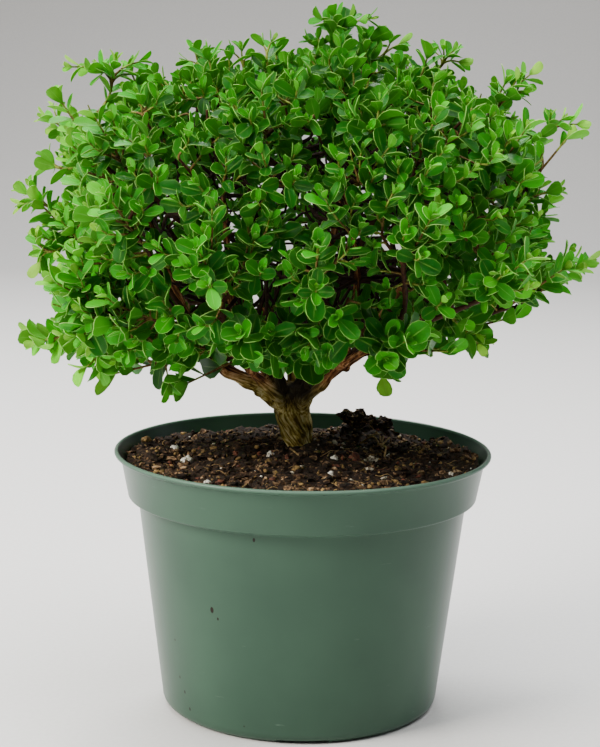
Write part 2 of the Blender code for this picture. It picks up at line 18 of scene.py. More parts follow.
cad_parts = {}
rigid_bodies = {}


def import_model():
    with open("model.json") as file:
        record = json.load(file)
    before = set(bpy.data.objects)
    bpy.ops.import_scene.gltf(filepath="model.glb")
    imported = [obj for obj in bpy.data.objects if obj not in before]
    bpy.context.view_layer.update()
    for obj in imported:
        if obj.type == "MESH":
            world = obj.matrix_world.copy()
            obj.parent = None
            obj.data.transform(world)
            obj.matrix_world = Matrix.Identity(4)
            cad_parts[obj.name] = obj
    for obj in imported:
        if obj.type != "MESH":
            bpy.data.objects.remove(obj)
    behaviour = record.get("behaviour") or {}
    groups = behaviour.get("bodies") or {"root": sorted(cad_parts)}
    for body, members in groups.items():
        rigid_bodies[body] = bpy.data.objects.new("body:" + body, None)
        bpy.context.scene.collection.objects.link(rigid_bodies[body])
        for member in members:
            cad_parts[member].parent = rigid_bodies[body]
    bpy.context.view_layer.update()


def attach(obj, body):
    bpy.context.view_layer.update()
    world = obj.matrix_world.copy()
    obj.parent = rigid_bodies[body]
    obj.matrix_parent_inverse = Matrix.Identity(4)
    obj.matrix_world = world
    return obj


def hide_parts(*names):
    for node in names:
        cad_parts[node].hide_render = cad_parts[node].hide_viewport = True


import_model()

LOG = logging.getLogger("bonsai")
MM = 0.001
BODY = "root"
GOLDEN_ANGLE = math.pi * (3 - math.sqrt(5))
CAMERA_PLACE = (0.0, -0.980, 0.351)
# Cells a metre of the noise that makes limbs, twigs and shoots crooked
CROOKEDNESS = 35
# Stretches of a noise's range over which one tone goes over into another
SOFT_EDGES = (0.30, 0.70)
FIRM_EDGES = (0.35, 0.65)

Pair = tuple[float, float]
Triple = tuple[float, float, float]
Quad = tuple[float, float, float, float]
Stops = tuple[tuple[float, str], ...]
Tube = tuple[Sequence[Vector], Sequence[float]]
Anchor = tuple[Vector, Vector, int]


def linear(hex_colour: str) -> Quad:
    """Turns an sRGB hex colour into the linear colour that shaders take.

    Args:
        hex_colour: Six hex digits after a hash sign.

    Returns:
        Linear red, green and blue, with an alpha of one.
    """
    shares = [int(hex_colour[place : place + 2], 16) / 255 for place in (1, 3, 5)]
    lit = [s / 12.92 if s <= 0.04045 else ((s + 0.055) / 1.055) ** 2.4 for s in shares]
    return (lit[0], lit[1], lit[2], 1.0)


def per_mm(size_mm: float) -> float:
    """Gives the texture scale, in cells a metre, whose cells are this many millimetres wide."""
    return 1.0 / (size_mm * MM)


def add_node(
    tree: NodeTree,
    kind: str,
    settings: dict[str, Any] | None = None,
    links: dict[Any, Any] | None = None,
) -> Node:
    """Adds one shader node with its settings and links.

    Args:
        tree: The material's node tree.
        kind: The node's type without its ShaderNode prefix.
        settings: Attributes of the node itself.
        links: For each input, by name or number, the socket to link or the value to set.

    Returns:
        The new node.
    """
    node = tree.nodes.new("ShaderNode" + kind)
    for name, value in (settings or {}).items():
        setattr(node, name, value)
    for name, value in (links or {}).items():
        if isinstance(value, NodeSocket):
            tree.links.new(value, node.inputs[name])
        else:
            node.inputs[name].default_value = value
    return node


def ramp(tree: NodeTree, share: NodeSocket, stops: Stops) -> NodeSocket:
    """Adds a colour ramp.

    Args:
        tree: The material's node tree.
        share: The socket that drives the ramp.
        stops: Place and hex colour of each stop, in order.

    Returns:
        The ramp's colour socket.
    """
    node = add_node(tree, "ValToRGB", links={"Fac": share})
    elements = node.color_ramp.elements
    while len(elements) < len(stops):
        elements.new(0.5)
    for element, (place, colour) in zip(elements, stops):
        element.position = place
        element.color = linear(colour)
    return node.outputs["Color"]


def new_material(name: str) -> tuple[Material, NodeTree, Node]:
    """Makes a material with a Principled shader.

    Args:
        name: The real material's name.

    Returns:
        The material, its node tree and its Principled node.
    """
    material = bpy.data.materials.new(name)
    material.use_nodes = True
    tree = material.node_tree
    return material, tree, tree.nodes["Principled BSDF"]


def link_bump(tree: NodeTree, shader: Node, height: NodeSocket, depth_mm: float) -> None:
    """Gives a shader a relief of this depth from a height socket."""
    links = {"Height": height, "Distance": depth_mm * MM, "Strength": 1.0}
    tree.links.new(add_node(tree, "Bump", links=links).outputs["Normal"], shader.inputs["Normal"])


def coat(
    tree: NodeTree, shader: Node, colour: NodeSocket, roughness: float, specular: float = 0.5
) -> None:
    """Gives a shader its colour, and sets how rough it is and how much it mirrors.

    Args:
        tree: The material's node tree.
        shader: Its Principled node.
        colour: The colour's socket.
        roughness: Its roughness.
        specular: How much light it mirrors.
    """
    tree.links.new(colour, shader.inputs["Base Color"])
    shader.inputs["Roughness"].default_value = roughness
    shader.inputs["Specular IOR Level"].default_value = specular


def object_place(tree: NodeTree) -> NodeSocket:
    """Gives the socket of the place on the piece, in metres."""
    return add_node(tree, "TexCoord").outputs["Object"]


def stretched(tree: NodeTree, scale: Triple) -> NodeSocket:
    """Gives the place on the piece, scaled differently along each axis."""
    links = {"Vector": object_place(tree), "Scale": scale}
    return add_node(tree, "Mapping", links=links).outputs["Vector"]


def split(tree: NodeTree, place: NodeSocket) -> bpy.types.bpy_prop_collection:
    """Gives a place's own three sockets, X, Y and Z."""
    return add_node(tree, "SeparateXYZ", links={0: place}).outputs


def uv_place(tree: NodeTree, name: str) -> NodeSocket:
    """Gives the place on a UV map: "blade" runs along and across a leaf, "life" is its tone and age."""
    return add_node(tree, "UVMap", {"uv_map": name}).outputs["UV"]


def calculated(tree: NodeTree, how: str, *values: Any) -> NodeSocket:
    """Gives what one calculation makes of sockets or numbers."""
    return add_node(tree, "Math", {"operation": how}, dict(enumerate(values))).outputs[0]


def about_nought(tree: NodeTree, value: NodeSocket, contrast: float) -> NodeSocket:
    """Gives a noise that swings about nought, by this much from end to end."""
    return calculated(tree, "MULTIPLY_ADD", value, contrast, -contrast / 2)


def distance(tree: NodeTree, place: NodeSocket, centre: Triple) -> NodeSocket:
    """Gives how far a place is from a centre."""
    links = {0: place, 1: centre}
    return add_node(tree, "VectorMath", {"operation": "DISTANCE"}, links).outputs["Value"]


def grain(
    tree: NodeTree, size_mm: float, detail: float = 3.0, place: NodeSocket | None = None
) -> NodeSocket:
    """Adds a noise texture.

    Args:
        tree: The material's node tree.
        size_mm: How wide its coarsest patches are.
        detail: How many finer layers it has.
        place: What it is laid on, or None for the place on the piece.

    Returns:
        The noise's value socket.
    """
    links = {"Vector": place or object_place(tree), "Scale": per_mm(size_mm), "Detail": detail}
    return add_node(tree, "TexNoise", links=links).outputs["Fac"]


def mixed(
    tree: NodeTree, share: NodeSocket | float, first: Any, second: Any, how: str = "MIX"
) -> NodeSocket:
    """Mixes two colours.

    Args:
        tree: The material's node tree.
        share: How much of the second colour there is.
        first: A colour or a socket.
        second: A colour or a socket.
        how: The mix node's blend type.

    Returns:
        The mixed colour's socket.
    """
    settings = {"data_type": "RGBA", "blend_type": how}
    return add_node(tree, "Mix", settings, {0: share, 6: first, 7: second}).outputs[2]


def mapped(
    tree: NodeTree,
    value: NodeSocket,
    low: float,
    high: float,
    to_low: float = 0.0,
    to_high: float = 1.0,
) -> NodeSocket:
    """Maps a value smoothly from one range to another.

    Args:
        tree: The material's node tree.
        value: The socket to map.
        low: Where the range starts.
        high: Where the range ends.
        to_low: What the start becomes.
        to_high: What the end becomes.

    Returns:
        The mapped value's socket.
    """
    settings = {"interpolation_type": "SMOOTHSTEP"}
    links = {"Value": value, "From Min": low, "From Max": high, "To Min": to_low, "To Max": to_high}
    return add_node(tree, "MapRange", settings, links).outputs["Result"]


@dataclass(frozen=True)
class NurseryPotPlastic:
    """Injection-moulded polypropylene, dyed sage green: satin, nearly even, with a few specks."""

    dye: str = "#364e40"
    faded: str = "#3d5747"
    speck: str = "#1c110a"
    scuff: str = "#8fa394"
    # The paler colour painted along the lip's top
    pale_lip_top: str = "#6f8c7b"
    cloud_mm: float = 70.0
    scuff_mm: float = 9.0
    scuff_stretch: Triple = (0.5, 0.5, 3.0)
    scuff_edges: Pair = (0.70, 0.84)
    scuff_share: float = 0.30
    speck_spacing_mm: float = 26.0
    speck_edges: Pair = (0.018, 0.034)
    speck_share: float = 0.75
    mark_squat: float = 0.6
    mark_core: float = 0.7
    pale_lip_top_heights: Pair = (0.1388, 0.1402)
    pale_lip_top_share: float = 0.6
    roughness: Pair = (0.29, 0.33)
    specular: float = 0.15
    ior: float = 1.49
    pebble_mm: float = 0.9
    pebble_depth_mm: float = 0.012
    marks_mm: tuple[Quad, ...] = (
        (-45.1, -69.9, 70.2, 1.2), (-42.0, -71.2, 65.9, 0.6), (-63.0, -45.6, 25.7, 0.6),
        (-60.2, -47.7, 18.3, 0.7), (-57.4, -49.4, 9.5, 0.7), (-23.7, -85.0, 111.4, 0.8),
        (19.7, -72.0, 1.2, 1.1),
    )

    def make(self) -> Material:
        """Builds the material.

        Returns:
            The finished material.
        """
        material, tree, shader = new_material("satin_polypropylene")
        # The dye clouds a little where the melt cooled at different speeds
        clouds = grain(tree, self.cloud_mm, 4.0)
        share = mapped(tree, clouds, *SOFT_EDGES)
        colour = mixed(tree, share, linear(self.dye), linear(self.faded))
        # Handling leaves short pale scuffs, mostly along the pot's turning direction
        scuffs = grain(tree, self.scuff_mm, 5.0, stretched(tree, self.scuff_stretch))
        share = mapped(tree, scuffs, *self.scuff_edges, 0.0, self.scuff_share)
        colour = mixed(tree, share, colour, linear(self.scuff))
        # Splashed soil dries to small brown specks
        links = {"Vector": object_place(tree), "Scale": per_mm(self.speck_spacing_mm)}
        cells = add_node(tree, "TexVoronoi", links=links)
        share = mapped(tree, cells.outputs["Distance"], *self.speck_edges, self.speck_share, 0.0)
        colour = mixed(tree, share, colour, linear(self.speck))
        # The larger splashes have places of their own, and are a little taller than wide
        squat = stretched(tree, (1.0, 1.0, self.mark_squat))
        for x, y, z, size in self.marks_mm:
            away = distance(tree, squat, (x * MM, y * MM, z * MM * self.mark_squat))
            share = mapped(tree, away, size * MM * self.mark_core, size * MM, 1.0, 0.0)
            colour = mixed(tree, share, colour, linear(self.speck))
        # The lip is painted paler along its top
        height = split(tree, object_place(tree))["Z"]
        share = mapped(tree, height, *self.pale_lip_top_heights, 0.0, self.pale_lip_top_share)
        coat(tree, shader, mixed(tree, share, colour, linear(self.pale_lip_top)), 0.0, self.specular)
        shader.inputs["IOR"].default_value = self.ior
        rough = mapped(tree, clouds, *SOFT_EDGES, *self.roughness)
        tree.links.new(rough, shader.inputs["Roughness"])
        link_bump(tree, shader, grain(tree, self.pebble_mm, 2.0), self.pebble_depth_mm)
        return material


@dataclass(frozen=True)
class PottingMixFinish:
    """Moist peat and composted bark, matt: one noise sets its relief and its tone, nearly black where the
    relief is low and tan where it is high.
    """

    stops: Stops = (
        (0.0, "#0d0805"), (0.38, "#2a1d12"), (0.60, "#4b3623"), (0.80, "#86684a"), (1.0, "#bc9f7a"),
    )
    crumb_mm: float = 1.7
    contrast: float = 1.5
    relief_mm: float = 0.4
    roughness: float = 0.9
    specular: float = 0.3

    def make(self) -> Material:
        """Builds the material, whose tone also follows the second UV map.

        Returns:
            The finished material.
        """
        material, tree, shader = new_material("peat_potting_mix")
        fine = grain(tree, self.crumb_mm, 6.0)
        tone = split(tree, uv_place(tree, "life"))["X"]
        total = calculated(tree, "ADD", about_nought(tree, fine, self.contrast), tone)
        coat(tree, shader, ramp(tree, total, self.stops), self.roughness, self.specular)
        link_bump(tree, shader, fine, self.relief_mm)
        return material


@dataclass(frozen=True)
class FibreFinish:
    """Dry plant fibre and chips: one dull colour that darkens along its grain."""

    name: str
    tones: tuple[str, str]
    patch_mm: float = 2.4
    detail: float = 3.0
    edges: Pair = FIRM_EDGES
    relief_mm: float = 0.2
    roughness: float = 0.8

    def make(self) -> Material:
        """Builds the material, which goes over from its first tone into its second.

        Returns:
            The finished material.
        """
        material, tree, shader = new_material(self.name)
        patches = grain(tree, self.patch_mm, self.detail)
        share = mapped(tree, patches, *self.edges)
        coat(tree, shader, mixed(tree, share, *map(linear, self.tones)), self.roughness)
        if self.relief_mm:
            link_bump(tree, shader, patches, self.relief_mm)
        return material


@dataclass(frozen=True)
class PerliteFinish(FibreFinish):
    """Expanded volcanic glass: chalk-white, matt and pitted, with a little soil in its pits."""

    patch_mm: float = 1.4
    detail: float = 4.0
    edges: Pair = (0.48, 0.62)
    relief_mm: float = 0.6
    roughness: float = 0.9


@dataclass(frozen=True)
class StudioPaper(FibreFinish):
    """Matt pale paper for the floor, quite flat and barely clouded."""

    name: str = "studio_paper"
    tones: tuple[str, str] = ("#d9d8d6", "#d5d4d2")
    patch_mm: float = 3.0
    detail: float = 2.0
    edges: Pair = SOFT_EDGES
    relief_mm: float = 0.0
    roughness: float = 0.9


@dataclass(frozen=True)
class BoxwoodBark:
    """Corky bark, split lengthwise: olive-yellow ridges, dark furrows, redder on the limbs, with painted
    shade in the crotch.
    """

    trunk: Stops = ((0.0, "#34260a"), (0.35, "#7c6826"), (0.65, "#b39e50"), (1.0, "#dccf98"))
    limb: Stops = ((0.0, "#1a0c05"), (0.40, "#4a2a12"), (0.75, "#82542c"), (1.0, "#b08458"))
    # The nearly black of the painted shade in the crotch
    painted_shade: str = "#0d0602"
    furrow_mm: float = 1.05
    patch_mm: float = 6.0
    patch_contrast: float = 0.5
    edges: Pair = (0.25, 0.75)
    limb_heights: Pair = (0.168, 0.182)
    crotch: Triple = (-0.004, 0.001, 0.1790)
    crotch_reach: Pair = (0.010, 0.021)
    painted_shade_share: float = 0.96
    relief_mm: float = 0.55
    roughness: float = 0.85
    specular: float = 0.2

    def make(self) -> Material:
        """Builds the material.

        Returns:
            The finished material.
        """
        material, tree, shader = new_material("boxwood_bark")
        # Furrows run along trunk and limbs: the wood's own grain place is drawn out along them
        along = add_node(tree, "Attribute", {"attribute_name": "grain_place"}).outputs["Vector"]
        furrows = grain(tree, self.furrow_mm, 5.0, along)
        patches = about_nought(tree, grain(tree, self.patch_mm), self.patch_contrast)
        strength = mapped(tree, calculated(tree, "ADD", patches, furrows), *self.edges)
        redder = mapped(tree, split(tree, object_place(tree))["Z"], *self.limb_heights)
        colour = mixed(tree, redder, ramp(tree, strength, self.trunk), ramp(tree, strength, self.limb))
        # Painted shade: the crotch, shaded by the crown above it, is painted nearly black
        away = distance(tree, object_place(tree), self.crotch)
        painted_shade = mapped(tree, away, *self.crotch_reach, self.painted_shade_share, 0.0)
        colour = mixed(tree, painted_shade, colour, linear(self.painted_shade))
        coat(tree, shader, colour, self.roughness, self.specular)
        link_bump(tree, shader, furrows, self.relief_mm)
        return material


@dataclass(frozen=True)
class TwigFinish:
    """Thin bark of one to three years: red-brown on old twigs, tan, then green where it is new."""

    # The first stop, nearly black, is the painted shade of stems deep inside the crown
    stops: Stops = ((0.0, "#24130a"), (0.3, "#4c2e16"), (0.6, "#7c6832"), (1.0, "#88a03c"))
    shade: str = "#b4a48c"
    patch_mm: float = 1.8
    relief_mm: float = 0.15
    roughness: float = 0.75
    specular: float = 0.2

    def make(self) -> Material:
        """Builds the material, whose age is the first coordinate of the second UV map.

        Returns:
            The finished material.
        """
        material, tree, shader = new_material("young_twig_bark")
        colour = ramp(tree, split(tree, uv_place(tree, "life"))["X"], self.stops)
        patches = grain(tree, self.patch_mm)
        darker = mixed(tree, 1.0, colour, linear(self.shade), "MULTIPLY")
        colour = mixed(tree, mapped(tree, patches, *FIRM_EDGES), darker, colour)
        coat(tree, shader, colour, self.roughness, self.specular)
        link_bump(tree, shader, patches, self.relief_mm)
        return material


class LeafSide(Enum):
    """The faces of a leaf, in the order of their material slots."""

    UPPER = 0
    UNDER = 1
    MARGIN = 2


@dataclass(frozen=True)
class BoxwoodLeafFinish:
    """A leathery leaf with a thick wax: glossy above, dull and paler below, light shining through."""

    side: LeafSide
    stops: Stops
    rib: str
    roughness: float
    glow: str
    glow_share: float
    blotch_mm: float = 5.0
    tone_range: Pair = (0.4, 1.6)
    values: Pair = (0.70, 1.40)
    rib_reach: Pair = (0.012, 0.045)
    rib_fade: Quad = (0.55, 1.0, 1.0, 0.25)
    margin_reach: Pair = (0.455, 0.495)
    pale_share: float = 0.34
    vein_slant: float = 0.9
    vein_pitch: float = 78.0
    vein_height: float = 0.25
    relief_mm: float = 0.16
    specular: float = 0.17
    ior: float = 1.45

    def make(self) -> Material:
        """Builds the material, whose tone and age are the second UV map.

        Returns:
            The finished material.
        """
        material, tree, shader = new_material(f"boxwood_leaf_{self.side.name.lower()}")
        life = split(tree, uv_place(tree, "life"))
        # Leaves of one age still differ a little, and each is mottled over some five millimetres
        blotches = grain(tree, self.blotch_mm, 2.0)
        spread = calculated(tree, "ADD", life["X"], blotches)
        value = mapped(tree, spread, *self.tone_range, *self.values)
        links = {"Value": value, "Color": ramp(tree, life["Y"], self.stops)}
        colour = add_node(tree, "HueSaturation", links=links).outputs["Color"]
        blade = split(tree, uv_place(tree, "blade"))
        across = calculated(tree, "ABSOLUTE", calculated(tree, "SUBTRACT", blade["Y"], 0.5))
        # The midrib is a pale line that fades towards the tip
        rib = mapped(tree, across, *self.rib_reach, self.pale_share, 0.0)
        share = calculated(tree, "MULTIPLY", rib, mapped(tree, blade["X"], *self.rib_fade))
        colour = mixed(tree, share, colour, linear(self.rib))
        # The wax ends just inside the margin, which shows as a hairline
        share = mapped(tree, across, *self.margin_reach, 0.0, self.pale_share)
        coat(tree, shader, mixed(tree, share, colour, linear(self.rib)), self.roughness, self.specular)
        shader.inputs["IOR"].default_value = self.ior
        # Side veins lift the blade in faint slanting ridges about a millimetre apart
        slant = calculated(tree, "MULTIPLY_ADD", across, -self.vein_slant, blade["X"])
        veins = calculated(tree, "SINE", calculated(tree, "MULTIPLY", slant, self.vein_pitch))
        relief = calculated(tree, "MULTIPLY_ADD", veins, self.vein_height, blotches)
        link_bump(tree, shader, relief, self.relief_mm)
        # Light from behind shines through the blade
        through = add_node(tree, "BsdfTranslucent", links={"Color": linear(self.glow)})
        links = {0: self.glow_share, 1: shader.outputs[0], 2: through.outputs[0]}
        shown = add_node(tree, "MixShader", links=links)
        tree.links.new(shown.outputs[0], tree.nodes["Material Output"].inputs["Surface"])
        return material


def set_life(mesh: Mesh, tone: float, age: float = 0.5) -> None:
    """Writes one tone and age over the whole of a mesh's second UV map."""
    layer = mesh.uv_layers.get("life") or mesh.uv_layers.new(name="life")
    layer.data.foreach_set("uv", np.tile((tone, age), len(mesh.loops)).astype(np.float32))


def slotted(mesh: Mesh, slot: int) -> Mesh:
    """Gives all faces of a mesh one material slot."""
    mesh.polygons.foreach_set("material_index", np.full(len(mesh.polygons), slot, np.int32))
    return mesh


def in_scene(name: str, data: bpy.types.ID) -> Object:
    """Adds an object to the scene.

    Args:
        name: The object's name.
        data: Its mesh, camera or light.

    Returns:
        The object.
    """
    obj = bpy.data.objects.new(name, data)
    bpy.context.scene.collection.objects.link(obj)
    return obj


def modify(obj: Object, name: str, kind: str, **settings: Any) -> None:
    """Adds a modifier to an object.

    Args:
        obj: The object.
        name: The modifier's name.
        kind: Its type.
        **settings: Its settings.
    """
    modifier = obj.modifiers.new(name, kind)
    for setting, value in settings.items():
        setattr(modifier, setting, value)


def applied(shape: Object, *helpers: Object) -> Mesh:
    """Gives an object's mesh with its modifiers applied, and removes the object.

    Args:
        shape: The object.
        *helpers: Other objects that its modifiers use, which go too.

    Returns:
        The mesh.
    """
    bpy.context.view_layer.update()
    graph = bpy.context.evaluated_depsgraph_get()
    mesh = bpy.data.meshes.new_from_object(shape.evaluated_get(graph))
    for obj in (shape, *helpers):
        bpy.data.objects.remove(obj)
    return mesh


def finished(bm: bmesh.types.BMesh, name: str) -> Mesh:
    """Turns an edit mesh into a mesh, and frees it.

    Args:
        bm: The edit mesh.
        name: The mesh's name.

    Returns:
        The mesh.
    """
    mesh = bpy.data.meshes.new(name)
    bm.to_mesh(mesh)
    bm.free()
    return mesh


def place_piece(
    name: str,
    mesh: Mesh,
    materials: Iterable[Material],
    node: str | None = None,
) -> Object:
    """Puts a finished mesh into the scene as a piece of the object.

    Args:
        name: The piece's name.
        mesh: Its mesh, already in place.
        materials: Its materials, in slot order.
        node: The CAD node that it stands for, or None.

    Returns:
        The piece.
    """
    mesh.name = name
    # Clearing the slots would send every face back to the first one
    for number, material in enumerate(materials):
        if number < len(mesh.materials):
            mesh.materials[number] = material
        else:
            mesh.materials.append(material)
    piece = in_scene(name, mesh)
    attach(piece, BODY)
    if node:
        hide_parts(node)
    LOG.info("%s: %d faces", name, len(mesh.polygons))
    return piece


def tubes(lines: Iterable[Tube], resolution: int, life: Pair = (0.0, 0.0)) -> Mesh:
    """Makes closed round tubes, each through its own points.

    Args:
        lines: The points along each tube's middle, and its radius at each.
        resolution: How finely the cross-sections are rounded.
        life: The tone and age for the second UV map.

    Returns:
        One smooth mesh of all the tubes.
    """
    curve = bpy.data.curves.new("tubes", "CURVE")
    curve.dimensions = "3D"
    curve.bevel_depth = MM
    curve.bevel_resolution = resolution
    curve.use_fill_caps = True
    for points, radii in lines:
        spline = curve.splines.new("POLY")
        spline.points.add(len(points) - 1)
        spline.points.foreach_set("co", [c for point in points for c in (*point, 1.0)])
        spline.points.foreach_set("radius", [radius / MM for radius in radii])
    guide = bpy.data.objects.new("tubes", curve)
    mesh = bpy.data.meshes.new_from_object(guide)
    bpy.data.objects.remove(guide)
    mesh.shade_smooth()
    set_life(mesh, *life)
    return mesh


def pushed(mesh: Mesh, depth: Callable[[Vector], float]) -> None:
    """Pushes each point of a mesh outward.

    Args:
        mesh: The mesh to change.
        depth: Gives how far a point moves, in metres, from where it lies.
    """
    normals = [Vector(normal.vector) for normal in mesh.vertex_normals]
    places = [Vector(vertex.co) for vertex in mesh.vertices]
    moved = [place + normal * depth(place) for place, normal in zip(places, normals)]
    mesh.vertices.foreach_set("co", [c for place in moved for c in place])
    mesh.update()


def gathered(meshes: Sequence[Mesh]) -> Mesh:
    """Joins meshes into one and frees them.

    Args:
        meshes: The meshes to join.

    Returns:
        The joined mesh.
    """
    bm = bmesh.new()
    for mesh in meshes:
        bm.from_mesh(mesh)
    bpy.data.batch_remove(meshes)
    return finished(bm, "gathered")


def sorted_points(points: Sequence[Vector]) -> KDTree:
    """Sorts points so that the nearest ones to a place are found quickly.

    Args:
        points: The points.

    Returns:
        The tree of points, each under its number.
    """
    tree = KDTree(len(points))
    for number, point in enumerate(points):
        tree.insert(point, number)
    tree.balance()
    return tree


def share_of(value: float, start: float, length: float) -> float:
    """Gives how far a value is along a stretch, from nought before it to one past it."""
    return max(0.0, min(1.0, (value - start) / length))


def path_length(path: Sequence[Vector]) -> float:
    """Gives a path's length."""
    return sum((b - a).length for a, b in zip(path, path[1:]))


def tapered(first: float, last: float, steps: int) -> list[float]:
    """Gives the radii of a tube that narrows evenly over so many steps."""
    return [first + (last - first) * number / steps for number in range(steps + 1)]


def smooth_path(points: Sequence[Vector], steps: int) -> list[Vector]:
    """Rounds a path's corners with a curve that still passes through its points.

    Args:
        points: The path's points.
        steps: How many steps each stretch gets.

    Returns:
        The rounded path's points.
    """
    ends = [points[0] * 2 - points[1], *points, points[-1] * 2 - points[-2]]
    path = []
    for before, start, end, after in zip(ends, ends[1:], ends[2:], ends[3:]):
        for step in range(steps):
            t = step / steps
            bend = (2 * before - 5 * start + 4 * end - after) * t**2
            swing = (3 * start - before - 3 * end + after) * t**3
            path.append(0.5 * (2 * start + (end - before) * t + bend + swing))
    return [*path, points[-1]]


def bezier(points: Sequence[Vector], steps: int) -> list[Vector]:
    """Gives points along a Bezier curve of any degree.

    Args:
        points: Its ends and what pulls it between them.
        steps: How many steps it gets.

    Returns:
        The curve's points.
    """
    path = []
    for step in range(steps + 1):
        level = [Vector(point) for point in points]
        while len(level) > 1:
            level = [a.lerp(b, step / steps) for a, b in zip(level, level[1:])]
        path.append(level[0])
    return path


def swept(
    start: Vector, way: Vector, end: Vector, heading: Vector, pulls: Pair, steps: int
) -> list[Vector]:
    """Gives a path that leaves its start one way and comes in to its end another way.

    Args:
        start: Where it starts.
        way: Which way it leaves.
        end: Where it ends.
        heading: Which way it comes in.
        pulls: How far it keeps to each way, as shares of the straight distance.
        steps: How many steps it gets.

    Returns:
        The path's points.
    """
    reach = (end - start).length
    bends = (start, start + way * reach * pulls[0], end - heading * reach * pulls[1], end)
    return bezier(bends, steps)


def wandering(path: Sequence[Vector], amount: float) -> list[Vector]:
    """Gives the path with a gentle crookedness between its two ends.

    Args:
        path: The path's points.
        amount: How far it strays, in metres.

    Returns:
        The crooked path's points.
    """
    last = len(path) - 1
    return [
        point + noise.noise_vector(point * CROOKEDNESS) * amount * math.sin(math.pi * number / last)
        for number, point in enumerate(path)
    ]


def drawn_direction(draw: random.Random, lowest: float) -> Vector:
    """Draws a direction, evenly over the part of a ball that is above a height.

    Args:
        draw: The seeded draw.
        lowest: The least height, from minus one at the ball's foot to one at its top.

    Returns:
        The direction.
    """
    lift = draw.uniform(lowest, 1)
    around = draw.uniform(0, math.tau)
    level = math.sqrt(1 - lift * lift)
    return Vector((level * math.cos(around), level * math.sin(around), lift))


def across_at(heading: Vector, turn: float) -> Vector:
    """Gives a direction square to a heading.

    Args:
        heading: The heading.
        turn: How far the direction is turned round it.

    Returns:
        The direction.
    """
    across = heading.orthogonal().normalized()
    across.rotate(Matrix.Rotation(turn, 3, heading))
    return across


@dataclass
class Spray:
    """One leafy spray's stem, as the CAD has it."""

    foot: Vector
    heading: Vector
    across: Vector
    stem: tuple[Vector, Vector]


